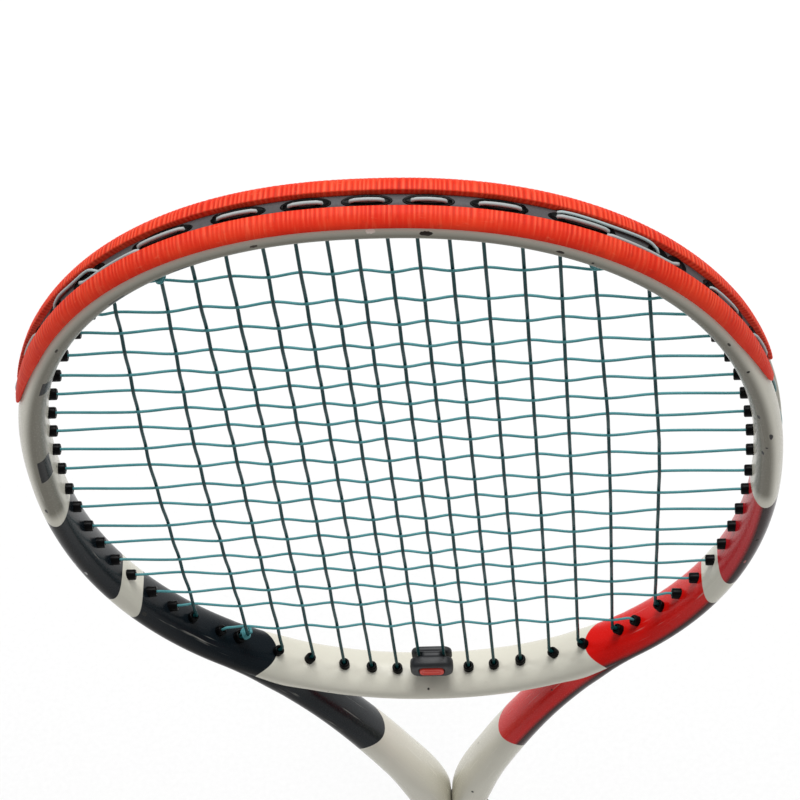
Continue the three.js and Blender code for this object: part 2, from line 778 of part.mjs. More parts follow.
// Joins woven runs into one string, with a loop outside the frame between one run and the next.
function threadString(legs, bends, startTail, endTail) {
  const corners = [...startTail];
  legs.forEach((leg, i) => {
    const woven = wovenRun(leg.run, bends);
    const run = leg.reversed ? woven.reverse() : woven;
    corners.push(...throughHole(leg.enter, 0, false), ...run, ...throughHole(leg.leave, 0, true));
    const next = legs[i + 1];
    if (next) {
      corners.push(...outsideLoop(leg.leave, next.enter, leg.bow));
    }
  });
  return [...corners, ...endTail];
}

// A tied-off end: along the outside, in through a shared hole, and a short stub inside.
function tailInto(fromName, sharedName, bow) {
  const side = SHARED[sharedName];
  const hole = holes[sharedName];
  const stub = shifted(hole.tip.clone().addScaledVector(hole.axis, -KNOT.reach), side * TAIL_STEP);
  return [...outsideLoop(fromName, sharedName, bow), ...throughHole(sharedName, side * TAIL_STEP, false), stub];
}

// The mains run in one string: out from the middle on both sides, down and up in turn.
function mainLegs(half, mains) {
  return MAIN_X.map((_, k) => {
    const upwards = k % 2 === 1;
    const head = `head${k}${half}`;
    const throat = `throat${k}${half}`;
    return {
      run: mains.find(({ key }) => key === `main${k}${half}`),
      reversed: upwards,
      enter: upwards ? throat : head,
      leave: upwards ? head : throat,
      bow: k === 6 ? -STRING.sideStep : 0,
    };
  });
}

function flip(legs) {
  return legs.map((leg, i) => ({
    run: leg.run,
    reversed: !leg.reversed,
    enter: leg.leave,
    leave: leg.enter,
    bow: i > 0 ? legs[i - 1].bow : 0,
  })).reverse();
}

function makeMains(mains, bends) {
  const legs = [...flip(mainLegs('-', mains)), ...mainLegs('+', mains)];
  const start = tailInto('head7-', 'head6-', -STRING.sideStep).reverse();
  const end = tailInto('head7+', 'head6+', -STRING.sideStep);
  return cord(threadString(legs, bends, start, end), STRING.radius, STRING.sides);
}

// The crosses run in one string from the tip to the throat, side to side in turn.
// The first and last of their loops pass a hole of the outermost mains.
function crossBow(j) {
  return j === 0 || j === crossZ.length - 2 ? STRING.sideStep : 0;
}

function makeCrosses(crosses, bends) {
  const legs = crosses.map((run, j) => {
    const rightwards = j % 2 === 1;
    return {
      run,
      reversed: !rightwards,
      enter: `cross${j}${rightwards ? '-' : '+'}`,
      leave: `cross${j}${rightwards ? '+' : '-'}`,
      bow: crossBow(j),
    };
  });
  const start = tailInto('cross0+', 'head5+', STRING.sideStep).reverse();
  const end = tailInto(`cross${crossZ.length - 1}-`, 'throat6-', STRING.sideStep);
  return cord(threadString(legs, bends, start, end), STRING.radius, STRING.sides);
}

// A tied-off end is wound round the string beside it, as a thick ring round both.
function makeKnot(name) {
  const { bore, radius, round, stand } = KNOT;
  const half = KNOT.height / 2;
  const profile = [
    [bore, -half], [radius - round, -half], [radius, -half + round], [radius, half - round],
    [radius - round, half], [bore, half], [bore, -half],
  ].map(([x, y]) => new THREE.Vector2(x, y));
  const ring = new THREE.LatheGeometry(profile, 10);
  const hole = holes[name];
  const inward = hole.axis.clone().negate();
  ring.applyQuaternion(new THREE.Quaternion().setFromUnitVectors(new THREE.Vector3(0, 1, 0), inward));
  const middle = hole.tip.clone().addScaledVector(inward, stand + half);
  ring.translate(middle.x, middle.y + holeShift(name), middle.z);
  return ring;
}

// ---------------------------------------------------------------- handle
// An eight-sided outline with equal corner cuts.
function octagon(halfX, halfY, chamfer) {
  const innerX = halfX - chamfer;
  const innerY = halfY - chamfer;
  return [
    [halfX, innerY], [innerX, halfY], [-innerX, halfY], [-halfX, innerY],
    [-halfX, -innerY], [-innerX, -halfY], [innerX, -halfY], [halfX, -innerY],
  ].map(([x, y]) => new THREE.Vector2(x, y));
}

// A solid between level eight-sided rings, each { z, halfX, halfY, chamfer }.
function octagonStack(levels) {
  return solid(loft(levels.map(({ z, halfX, halfY, chamfer }) => {
    const outline = octagon(halfX, halfY, chamfer);
    return { outline, points: outline.map((p) => new THREE.Vector3(p.x, p.y, z)) };
  })));
}

function boxBetween(min, max) {
  const box = new THREE.BoxGeometry(max[0] - min[0], max[1] - min[1], max[2] - min[2]);
  box.translate((min[0] + max[0]) / 2, (min[1] + max[1]) / 2, (min[2] + max[2]) / 2);
  return solid(box);
}

// The handle's eight sides at one height, all moved outwards by the same amount.
function handleLevel(z, extra = 0) {
  return {
    z,
    halfX: HANDLE.halfX + extra,
    halfY: HANDLE.halfY + extra,
    chamfer: HANDLE.chamfer + extra * CHAMFER_GROWTH,
  };
}

function handleSleeve(from, to, extra) {
  return octagonStack([handleLevel(from, extra), handleLevel(to, extra)]);
}

// The room that both legs of the frame need, from one height up.
function legRoom(from) {
  const halfX = LEG.x + THROAT_WALL / 2 + GAP;
  const halfY = THROAT_BEAM / 2 + GAP;
  return boxBetween([-halfX, -halfY, from], [halfX, halfY, FAR]);
}

function makePallet(side) {
  const whole = handleSleeve(HANDLE.bottom, HANDLE.top, 0).subtract(legRoom(LEG.bottom - 2));
  const front = side > 0 ? GAP / 2 : -FAR;
  const back = side > 0 ? FAR : -GAP / 2;
  return whole.intersect(boxBetween([-FAR, front, -FAR], [FAR, back, FAR]));
}

function makeGrip() {
  const skin = handleSleeve(GRIP.bottom, GRIP.top, GAP + GRIP.thickness);
  return skin.subtract(handleSleeve(GRIP.bottom - PAST, GRIP.top + PAST, GAP));
}

function makeCap() {
  const { height, rim, flareTop, waist, flareX, flareY, neckX, neckY } = CAP;
  const skin = octagonStack([
    { z: 0, halfX: flareX - rim, halfY: flareY - rim, chamfer: CAP.rimChamfer },
    { z: rim, halfX: flareX, halfY: flareY, chamfer: CAP.flareChamfer },
    { z: flareTop, halfX: flareX, halfY: flareY, chamfer: CAP.flareChamfer },
    { z: waist, halfX: (flareX + neckX) / 2, halfY: (flareY + neckY) / 2, chamfer: CAP.waistChamfer },
    { z: height, halfX: neckX, halfY: neckY, chamfer: CAP.neckChamfer },
  ]);
  const socket = handleSleeve(HANDLE.bottom - GAP, height + PAST, GAP);
  return subtractAll(skin, [socket, badgePlate(-PAST, BADGE.depth + GAP, GAP)]);
}

function badgePlate(from, to, extra) {
  const size = { halfX: BADGE.halfX + extra, halfY: BADGE.halfY + extra, chamfer: BADGE.chamfer };
  return octagonStack([{ z: from, ...size }, { z: to, ...size }]);
}

// The tape holds down the upper end of the grip.
function makeTape() {
  const inner = 2 * GAP + GRIP.thickness;
  const outer = inner + TAPE.thickness;
  const skin = octagonStack([
    handleLevel(TAPE.bottom, outer - TAPE.round),
    handleLevel(TAPE.bottom + TAPE.round, outer),
    handleLevel(TAPE.top - TAPE.round, outer),
    handleLevel(TAPE.top, outer - TAPE.round),
  ]);
  return skin.subtract(handleSleeve(TAPE.bottom - PAST, TAPE.top + PAST, inner));
}

// The collar closes the top of the handle: it steps in from the handle to the shaft.
function makeCollar() {
  const skin = octagonStack([
    handleLevel(COLLAR.bottom, COLLAR.thickness),
    handleLevel(COLLAR.shoulder, COLLAR.thickness),
    handleLevel(COLLAR.top, -COLLAR.topShrink),
  ]);
  const socket = handleSleeve(COLLAR.bottom - PAST, HANDLE.top + GAP, GAP);
  return subtractAll(skin, [socket, legRoom(HANDLE.bottom)]);
}

// ---------------------------------------------------------------- dampener
// A soft button held between the two centre mains: two plates joined by a neck between the strings.
function roundedPlate(width, height, corner, fromY, toY) {
  const w = width / 2;
  const h = height / 2;
  const shape = new THREE.Shape();
  shape.moveTo(-w + corner, -h);
  shape.lineTo(w - corner, -h);
  shape.absarc(w - corner, -h + corner, corner, -Math.PI / 2, 0);
  shape.lineTo(w, h - corner);
  shape.absarc(w - corner, h - corner, corner, 0, Math.PI / 2);
  shape.lineTo(-w + corner, h);
  shape.absarc(-w + corner, h - corner, corner, Math.PI / 2, Math.PI);
  shape.lineTo(-w, -h + corner);
  shape.absarc(-w + corner, -h + corner, corner, Math.PI, 1.5 * Math.PI);
  const plate = new THREE.ExtrudeGeometry(shape, {
    depth: toY - fromY,
    bevelEnabled: false,
    curveSegments: DAMPENER.curveSegments,
  });
  plate.rotateX(Math.PI / 2);
  plate.translate(0, toY, DAMPENER.z);
  return plate;
}

function makeDampenerBody() {
  const { z, width, height, frontY, backY, slot, corner, backShrink } = DAMPENER;
  const front = solid(roundedPlate(width, height, corner, frontY, -slot));
  const back = solid(roundedPlate(width - backShrink, height - backShrink, corner, slot, backY));
  const neckHalf = MAIN_X[0] - STRING.radius - GAP;
  const neck = boxBetween([-neckHalf, -slot - 1, z - height / 2 + 1], [neckHalf, slot + 1, z + height / 2 - 1]);
  const recess = solid(roundedPlate(
    INSERT.width + 2 * GAP, INSERT.height + 2 * GAP, INSERT.corner + GAP,
    frontY - PAST, frontY + INSERT.depth + GAP,
  ));
  return joinAll([front, back, neck]).subtract(recess);
}

function makeDampenerInsert() {
  const from = DAMPENER.frontY - INSERT.standOut;
  return roundedPlate(INSERT.width, INSERT.height, INSERT.corner, from, DAMPENER.frontY + INSERT.depth);
}

// ---------------------------------------------------------------- assembly
const mains = mainRuns();
const crosses = crossRuns();
const bends = weave(mains, crosses);

addMesh('frame_hairpin', geometryOf(makeHairpin()), COLOURS.paint, 0.25);
addMesh('throat_bridge', geometryOf(makeBridge()), COLOURS.paint, 0.25);
addMesh('bumper_guard', geometryOf(makeBumper()), COLOURS.bumper, 0.6);
addMesh('head_grommet_strip', geometryOf(makeHeadStrip()), COLOURS.channel, 0.5);
addMesh('side_grommet_strip_right', geometryOf(makeSideStrip(1)), COLOURS.grommet, 0.5);
addMesh('side_grommet_strip_left', geometryOf(makeSideStrip(-1)), COLOURS.grommet, 0.5);
addMesh('throat_grommet_strip', geometryOf(makeThroatStrip()), COLOURS.grommet, 0.5);
addMesh('main_string', makeMains(mains, bends), COLOURS.string, 0.3);
addMesh('cross_string', makeCrosses(crosses, bends), COLOURS.string, 0.3);
addMesh('main_knot_left', makeKnot('head6-'), COLOURS.string, 0.3);
addMesh('main_knot_right', makeKnot('head6+'), COLOURS.string, 0.3);
addMesh('cross_knot_head', makeKnot('head5+'), COLOURS.string, 0.3);
addMesh('cross_knot_throat', makeKnot('throat6-'), COLOURS.string, 0.3);
addMesh('pallet_front', geometryOf(makePallet(-1)), COLOURS.pallet, 0.8);
addMesh('pallet_back', geometryOf(makePallet(1)), COLOURS.pallet, 0.8);
addMesh('grip_wrap', geometryOf(makeGrip()), COLOURS.grip, 0.9);
addMesh('grip_tape', geometryOf(makeTape()), COLOURS.tape, 0.4);
addMesh('grip_collar', geometryOf(makeCollar()), COLOURS.collar, 0.7);
addMesh('butt_cap', geometryOf(makeCap()), COLOURS.cap, 0.4);
addMesh('butt_badge', geometryOf(badgePlate(0, BADGE.depth, 0)), COLOURS.badge, 0.3);
addMesh('dampener_body', geometryOf(makeDampenerBody()), COLOURS.dampener, 0.7);
addMesh('dampener_insert', makeDampenerInsert(), COLOURS.insert, 0.5);

group.updateMatrixWorld(true);

export default group;
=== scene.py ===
# Looks of the tennis racket: every visible piece in metres, in the frame of the CAD model.
# +Z runs from the butt to the tip of the head, +X across it, and -Y is the front face.
import math

import bmesh
import bpy
import numpy as np
from mathutils import Matrix, Vector


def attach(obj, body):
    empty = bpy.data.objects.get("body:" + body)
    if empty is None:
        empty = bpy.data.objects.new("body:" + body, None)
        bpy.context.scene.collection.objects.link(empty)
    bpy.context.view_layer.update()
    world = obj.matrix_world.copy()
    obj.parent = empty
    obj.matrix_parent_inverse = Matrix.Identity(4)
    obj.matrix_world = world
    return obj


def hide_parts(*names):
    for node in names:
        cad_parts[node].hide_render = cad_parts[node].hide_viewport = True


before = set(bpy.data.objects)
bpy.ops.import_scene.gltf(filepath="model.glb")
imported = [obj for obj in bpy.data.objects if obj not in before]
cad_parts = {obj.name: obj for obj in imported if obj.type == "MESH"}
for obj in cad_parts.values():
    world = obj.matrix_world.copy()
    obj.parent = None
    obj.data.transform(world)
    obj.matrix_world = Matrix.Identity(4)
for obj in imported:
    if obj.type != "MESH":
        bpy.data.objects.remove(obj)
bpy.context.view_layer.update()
MM = 0.001

# ---------------------------------------------------------------- sizes in millimetres, as in the CAD model
LENGTH = 685.0
GAP = 0.3
WALL, BEAM = 10.5, 20.0
THROAT_WALL, THROAT_BEAM = 13.6, 22.0
POWER = 2.15
SHAFT_SQUARING = 2.2

CREST = 2.2
HEAD_CENTRE = 521.0
HEAD_HALF = 128.5
HEAD_UPPER = LENGTH - CREST - WALL / 2 - HEAD_CENTRE
HEAD_LOWER = 170.0
UPPER_POWER, LOWER_POWER = 2.25, 2.1
STATION_STEP = 15
ARM_LEAVE_X, ARM_REACH = 88, 48
ARM_WAIST = (10, 262)
SHAFT_TOP = 232
LEG_X, LEG_BOTTOM = 7, 26
GUSSET_X = 42

GROOVE_HALF, GROOVE_DEPTH, GROOVE_PAST = 4.0, 2.8, 52
STRIP_THICK, STRIP_HALF, HEAD_STRIP_HALF, HEAD_STRIP_TOP = 1.0, 3.6, 2.6, 0.1
SIDE_STRIP_TOP = GAP + STRIP_THICK - GROOVE_DEPTH
BARREL_RADIUS, SHARED_RADIUS, BARREL_OUT, TIP_TRIM = 2.2, 2.6, 3.2, 0.6
MIN_TIP_SPACING, MIN_EXIT_SPACING, LEAN = 10, 8.5, 8.5

BUMPER_END, BUMPER_TAPER = 173.0, 32
BUMPER_COVER, BUMPER_CHANNEL = 57, 2.9
HEAD_STRIP_END = BUMPER_END - 2
SIDE_STRIP_START = BUMPER_END + 0.5

STRING_RADIUS = 0.65
CROSS_RADIUS = 0.5
MAIN_WEAVE, CROSS_WEAVE = 0.52, 0.64
SIDE_STEP, MOUTH = 1.8, 1.2
MAIN_FAN, CROSS_FAN = 100, 60
MAIN_X = [5.05, 14.2, 24.4, 35.1, 47.3, 59, 72.7, 90.3]
CROSS_TOP = 643.5
CROSS_GAPS = [17, 14.2, 13.7, 12.6, 11.9, 12.2, 12.2, 12.6, 13.5, 14.6, 13.3, 14.5, 12.9, 13.5, 12.3, 13.9,
              13.8, 18.7]
CROSS_Z = [CROSS_TOP - sum(CROSS_GAPS[:i]) for i in range(len(CROSS_GAPS) + 1)]
SHARED = {"head6-": -1, "head6+": -1, "head5+": 1, "throat6-": 1}
TAIL_STEP = 1.6
KNOT_REACH = 3.1

HANDLE_X, HANDLE_Y, HANDLE_CHAMFER = 15.8, 13.8, 6.2
CHAMFER_GROWTH = 0.59
GRIP_BOTTOM, GRIP_TOP, GRIP_THICK = 25, 196, 1.6
TAPE_BOTTOM, TAPE_TOP, TAPE_THICK = 180, 192, 0.7
COLLAR_BOTTOM, COLLAR_SHOULDER, COLLAR_TOP, COLLAR_THICK = 196.6, 201, 210, 2.4
CAP_TOP = 24.5
BADGE_X, BADGE_Y, BADGE_DEPTH, BADGE_CHAMFER = 13, 10.5, 2, 4
DAMPENER_Z = 366.0

# ---------------------------------------------------------------- camera
CAMERA_AT = Vector((0.07321, -0.55294, 1.46885))
CAMERA_LOOK = Vector((-0.06726, 0.52012, -0.85144)).normalized()
CAMERA_UP = Vector((0.02904, 0.85403, 0.51941))
CAMERA_LENS = 139.5
camera_data = bpy.data.cameras.new("camera")
camera_data.lens = CAMERA_LENS
camera_data.sensor_width = 36
camera = bpy.data.objects.new("camera", camera_data)
camera_right = CAMERA_LOOK.cross(CAMERA_UP).normalized()
camera_up = camera_right.cross(CAMERA_LOOK)
camera.matrix_world = (
    Matrix.Translation(CAMERA_AT) @ Matrix((camera_right, camera_up, -CAMERA_LOOK)).transposed().to_4x4()
)
bpy.context.scene.collection.objects.link(camera)
bpy.context.scene.camera = camera


# ---------------------------------------------------------------- tracks: the flat curves that pieces follow
def bend(value, power):
    """A sine or cosine, bent so that a circle of them becomes a squared ellipse."""
    return np.sign(value) * np.abs(value) ** (2 / power)


def smooth(low, high, value):
    """0 below low, 1 above high, and a soft rise between them."""
    t = np.clip((value - low) / (high - low), 0, 1)
    return t * t * (3 - 2 * t)


def turning_point(test, low, high):
    """Where a test value turns positive, between low and high."""
    for _ in range(40):
        middle = (low + high) / 2
        if test(middle) > 0:
            high = middle
        else:
            low = middle
    return (low + high) / 2


def unit(vector):
    return vector / np.linalg.norm(vector)


def oval_point(angle):
    """The middle of the head's wall; the angle is 0 at the tip and grows towards +X."""
    upper = math.cos(angle) >= 0
    power = UPPER_POWER if upper else LOWER_POWER
    reach = HEAD_UPPER if upper else HEAD_LOWER
    return (HEAD_HALF * bend(math.sin(angle), power), HEAD_CENTRE + reach * bend(math.cos(angle), power))


class Track:
    """Places and outward normals along a curve; the distance s is negative on the -X side, its mirror."""

    def __init__(self, points):
        points = np.array(points, float)
        lengths = np.concatenate([[0], np.cumsum(np.hypot(*np.diff(points, axis=0).T))])
        self.end = lengths[-1]
        self.s = np.linspace(0, self.end, round(self.end) + 1)
        self.p = np.column_stack([np.interp(self.s, lengths, points[:, i]) for i in (0, 1)])
        along = np.gradient(self.p, self.s, axis=0)
        along /= np.hypot(*along.T)[:, None]
        self.n = np.column_stack([-along[:, 1], along[:, 0]])

    def at(self, s):
        side = -1 if s < 0 else 1
        d = min(abs(s), self.end)
        x, z, nx, nz = (np.interp(d, self.s, column) for column in (*self.p.T, *self.n.T))
        return side * x, z, side * nx, nz

    def place(self, s, outwards, y):
        x, z, nx, nz = self.at(s)
        return np.array([x + nx * outwards, y, z + nz * outwards])

    def down_to(self, z):
        """The distance at which the curve has come down to height z."""
        return turning_point(lambda s: z - self.at(s)[1], 0, self.end)

    def narrowed_to(self, x):
        """The distance below the widest place at which the curve has come in to x."""
        return turning_point(lambda s: x - self.at(s)[0], widest_s, self.end)


oval = Track([oval_point(math.pi * i / 4000) for i in range(4001)])
oval_steps = np.linspace(0, oval.end, round(oval.end / STATION_STEP) + 1)
leave_s = next(s for s in oval_steps if oval.at(s)[1] < HEAD_CENTRE and oval.at(s)[0] < ARM_LEAVE_X)
widest_s = oval.down_to(HEAD_CENTRE)
gusset_s = oval.narrowed_to(GUSSET_X)


def hairpin_points():
    """Along the oval to the shoulder, then down the throat arm and the leg in the handle."""
    head = [oval.at(s)[:2] for s in np.linspace(0, leave_s, 1500)]
    x, z, nx, nz = oval.at(leave_s)
    corners = np.array([(x, z), (x + nz * ARM_REACH, z - nx * ARM_REACH), ARM_WAIST, (LEG_X, SHAFT_TOP)])
    t = np.linspace(0, 1, 400)[1:, None]
    arm = ((1 - t) ** 3 * corners[0] + 3 * (1 - t) ** 2 * t * corners[1]
           + 3 * (1 - t) * t ** 2 * corners[2] + t ** 3 * corners[3])
    return [*head, *map(tuple, arm), (LEG_X, LEG_BOTTOM)]


hairpin = Track(hairpin_points())
shaft_s = hairpin.end - (SHAFT_TOP - LEG_BOTTOM)
groove_end = leave_s + GROOVE_PAST


def outer_at(y, wall=WALL, beam=BEAM, power=POWER):
    """How far the section reaches outwards at depth y."""
    return wall / 2 * (1 - (np.abs(y) / (beam / 2)) ** power) ** (1 / power)


LIP = outer_at(GROOVE_HALF)


def skin(degrees, lift=0.0, wall=WALL, beam=BEAM, power=POWER):
    """Points on the rounded section, from the outer side at 0 over the back at 90 to the inner side."""
    angle = np.radians(degrees)
    return np.column_stack([
        (wall / 2 + lift) * bend(np.cos(angle), power), (beam / 2 + lift) * bend(np.sin(angle), power),
    ])


def mirrored(half):
    """A half outline from y = 0 to y = 0, with its mirror image, as one closed outline."""
    return np.vstack([half, (half[1:-1] * [1, -1])[::-1]])


# ---------------------------------------------------------------- meshes
class Build:
    """Collects several closed parts into one mesh, with values for its points."""

    def __init__(self):
        self.rings, self.faces, self.values, self.count = [], [], [], 0

    def add(self, rings, loop=False, **values):
        """A skin through closed rings, its ends closed, or joined to each other in a loop."""
        rows, columns = len(rings), len(rings[0])
        starts = [self.count + row * columns for row in range(rows)]
        following = [*starts[1:], starts[0]] if loop else starts[1:]
        for low, high in zip(starts, following):
            for c in range(columns):
                d = (c + 1) % columns
                self.faces.append((low + c, low + d, high + d, high + c))
        if not loop:
            self.faces.append(tuple(range(starts[0], starts[0] + columns))[::-1])
            self.faces.append(tuple(range(starts[-1], starts[-1] + columns)))
        part = slice(self.count, self.count + rows * columns)
        self.values += [(key, part, np.asarray(value, float)) for key, value in values.items()]
        self.rings += rings
        self.count = part.stop

    def object(self, name, node, material, body="racket"):
        """The mesh as a piece that stands for a CAD node, its normals outwards, riding on a body."""
        mesh = bpy.data.meshes.new(name)
        mesh.from_pydata((np.vstack(self.rings) * MM).tolist(), [], self.faces)
        attributes = {}
        for key, part, value in self.values:
            shape = (self.count, 3) if value.ndim == 2 else (self.count,)
            attributes.setdefault(key, np.zeros(shape, np.float32))[part] = value
        for key, values in attributes.items():
            kind, field = ("FLOAT_VECTOR", "vector") if values.ndim == 2 else ("FLOAT", "value")
            mesh.attributes.new(key, kind, "POINT").data.foreach_set(field, values.ravel())
        work = bmesh.new()
        work.from_mesh(mesh)
        bmesh.ops.recalc_face_normals(work, faces=work.faces)
        work.to_mesh(mesh)
        work.free()
        mesh.shade_smooth()
        mesh.materials.append(material)
        piece = bpy.data.objects.new(name, mesh)
        bpy.context.scene.collection.objects.link(piece)
        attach(piece, body)
        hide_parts(node)


def sweep_rings(track, stops, outline_at):
    """Rings along a track, and for each point its distance, height and depth on the track."""
    rings, places = [], []
    for s in stops:
        outline = outline_at(s)
        x, z, nx, nz = track.at(s)
        rings.append(np.column_stack([x + nx * outline[:, 0], outline[:, 1], z + nz * outline[:, 0]]))
        places.append(np.column_stack([np.full(len(outline), s), outline]))
    return rings, places


def spaced(start, end, step):
    return np.linspace(start, end, max(2, round(abs(end - start) / step) + 1))


# ---------------------------------------------------------------- string holes
def tip_place(s):
    """Where a barrel ends inside the hoop."""
    return oval.place(s, -(WALL / 2 + BARREL_OUT), 0)


def lay_height(s):
    """Height above the middle of the wall at which a string lies outside the frame."""
    strip = HEAD_STRIP_TOP if abs(s) < HEAD_STRIP_END else SIDE_STRIP_TOP
    return LIP + strip + GAP + STRING_RADIUS


def natural_holes():
    """Where each string would leave the oval if it ran on straight: s inside, out outside."""
    found = []

    def add(key, low, high, excess):
        s = turning_point(lambda t: excess(tip_place(t)), low, high)
        out = turning_point(lambda t: excess(oval.place(t, lay_height(t), 0)), low, high)
        lean = 0 if leave_s - 25 < s < gusset_s else LEAN
        found.append({"key": key, "s": s, "out": min(max(out, s - lean), s + lean)})

    for k, x in enumerate(MAIN_X):
        add(f"head{k}", 0, widest_s, lambda p, x=x: p[0] - x)
        add(f"throat{k}", widest_s, oval.end, lambda p, x=x: x - p[0])
    for j, z in enumerate(CROSS_Z):
        add(f"cross{j}", 0, oval.end, lambda p, z=z: z - p[2])
    return sorted(found, key=lambda hole: hole["s"])


def ease_apart(row, key, spacing):
    """Pushes neighbours along the frame until they are a least spacing apart."""
    for _ in range(60):
        for a, b in zip(row, row[1:]):
            push = (spacing - (b[key] - a[key])) / 2
            if push > 0:
                a[key] -= push
                b[key] += push


def exit_on_arm(tip, direction):
    """Where a hole beyond the shoulder comes out of the arm."""
    stops = np.arange(leave_s - 40, shaft_s, 0.5)
    table = np.array([hairpin.at(s) for s in stops])

    def height_of(p):
        gap = np.array([abs(p[0]), p[2]]) - table[:, :2]
        i = np.argmin(np.hypot(*gap.T))
        return gap[i] @ table[i, 2:], stops[i]

    lay = lay_height(leave_s)
    reach = turning_point(lambda t: height_of(tip + direction * t)[0] - lay, WALL / 2, 4 * WALL)
    leaving = tip + direction * reach
    return leaving, height_of(leaving)[1]


def make_hole(side, s, out):
    tip = tip_place(side * s)
    leaving = oval.place(side * out, lay_height(out), 0)
    axis = unit(leaving - tip)
    on_bridge = s > gusset_s
    track_s = out
    if not on_bridge and out >= leave_s - 12:
        leaving, track_s = exit_on_arm(tip, axis)
    return {"side": side, "tip": tip, "axis": axis, "exit": leaving, "track_s": track_s,
            "on_bridge": on_bridge}


hole_row = natural_holes()
ease_apart(hole_row, "s", MIN_TIP_SPACING)
ease_apart(hole_row, "out", MIN_EXIT_SPACING)
holes = {}
for row in hole_row:
    holes[row["key"] + "+"] = make_hole(1, row["s"], row["out"])
    holes[row["key"] + "-"] = make_hole(-1, row["s"], row["out"])
hole_depth = {name: np.linalg.norm(hole["exit"] - hole["tip"]) for name, hole in holes.items()}
Y_STEP = np.array([0, 1.0, 0])


# ---------------------------------------------------------------- string routes
def mouth_of(name):
    """Where a string leaves its barrel; a knot sits in front of a shared one."""
    reach = KNOT_REACH if name in SHARED else MOUTH
    return holes[name]["tip"] - holes[name]["axis"] * reach


def flat(point):
    return np.array([point[0], point[2]])


def main_runs():
    """The mains' order from left to right, and their corners in the plane of the head."""
    runs = {}
    for half, sign in (("+", 1), ("-", -1)):
        for k, x in enumerate(MAIN_X):
            head, throat = f"head{k}{half}", f"throat{k}{half}"
            corners = [
                flat(mouth_of(head)), np.array([sign * x, holes[head]["tip"][2] - MAIN_FAN]),
                np.array([sign * x, holes[throat]["tip"][2] + MAIN_FAN]), flat(mouth_of(throat)),
            ]
            runs[f"main{k}{half}"] = {"order": math.floor(sign * (k + 0.5)), "corners": corners}
    return runs


def cross_runs():
    runs = {}
    for j, z in enumerate(CROSS_Z):
        left, right = f"cross{j}-", f"cross{j}+"
        corners = [
            flat(mouth_of(left)), np.array([holes[left]["tip"][0] + CROSS_FAN, z]),
            np.array([holes[right]["tip"][0] - CROSS_FAN, z]), flat(mouth_of(right)),
        ]
        runs[f"cross{j}"] = {"order": j, "corners": corners}
    return runs


def crossing(a, b, c, d):
    """Where the straight stretches a-b and c-d cross, as shares of their lengths."""
    u, v, w = b - a, d - c, c - a
    turn = u[0] * v[1] - u[1] * v[0]
    if abs(turn) < 1e-9:
        return None
    t = (w[0] * v[1] - w[1] * v[0]) / turn
    r = (w[0] * u[1] - w[1] * u[0]) / turn
    return (t, r) if 0.001 < t < 0.999 and 0.001 < r < 0.999 else None


mains, crosses = main_runs(), cross_runs()
bends = {key: [] for key in (*mains, *crosses)}
for main_key, main in mains.items():
    for cross_key, cross in crosses.items():
        for i in range(3):
            for j in range(3):
                hit = crossing(*main["corners"][i:i + 2], *cross["corners"][j:j + 2])
                if hit:
                    over = 1 if (main["order"] + cross["order"]) % 2 == 0 else -1
                    at = main["corners"][i] + (main["corners"][i + 1] - main["corners"][i]) * hit[0]
                    bends[main_key].append((i + hit[0], at, over * MAIN_WEAVE))
                    bends[cross_key].append((j + hit[1], at, -over * CROSS_WEAVE))


def short_of(end, before):
    """A corner shortly before the end of a run, which keeps the string straight up to its barrel."""
    stretch = np.linalg.norm(before - end)
    return end + (before - end) * min(0.5, 2.6 / stretch)


def woven_run(key):
    """The corners of one woven run, from its first barrel to its last."""
    run = mains.get(key) or crosses[key]
    found = bends[key]
    points = list(found)
    for i, at in enumerate(run["corners"]):
        clear = all(np.linalg.norm(at - other[1]) > 4.5 for other in found)
        if clear or i in (0, 3):
            points.append((i, at, 0.0))
    if key.startswith("main"):
        last = min(found, key=lambda point: point[1][1])
        points.append((last[0] + 0.02, last[1] - [0, 9], 0.0))
    points.sort(key=lambda point: point[0])
    path = [np.array([at[0], y, at[1]]) for _, at, y in points]
    return [path[0], short_of(path[0], path[1]), *path[1:-1], short_of(path[-1], path[-2]), path[-1]]


def outside_loop(from_name, to_name, bow):
    """Corners of a string that lies outside the frame from one hole to another, bowed to one side."""
    start_hole, end_hole = holes[from_name], holes[to_name]
    on_bridge = start_hole["on_bridge"]
    track = oval if on_bridge else hairpin
    start = start_hole["side"] * start_hole["track_s"]
    end = end_hole["side"] * end_hole["track_s"]
    if on_bridge and start_hole["side"] != end_hole["side"]:
        end = start_hole["side"] * (2 * oval.end - end_hole["track_s"])
    height = max(lay_height(start), lay_height(end))

    def along(share):
        s = start + (end - start) * share
        over_end = abs(s) - oval.end
        if track is oval and over_end > 0:
            s = -math.copysign(oval.end - over_end, s)
        return track.place(s, height, bow)

    span = abs(end - start)
    first = min(0.3, 3.2 / span)
    between = [0.5] if span > 18 else []
    return [along(share) for share in (first, *between, 1 - first)]


def through_hole(name, y, outward):
    """Corners of a string inside a hole, at depth y."""
    hole = holes[name]
    inside = hole["tip"] + hole["axis"] * 1.5 + Y_STEP * y
    middle = hole["tip"] + hole["axis"] * (hole_depth[name] - 3) + Y_STEP * y
    outside = hole["exit"] - hole["axis"] * 0.6 + Y_STEP * y
    points = [inside, middle, outside]
    return points if outward else points[::-1]


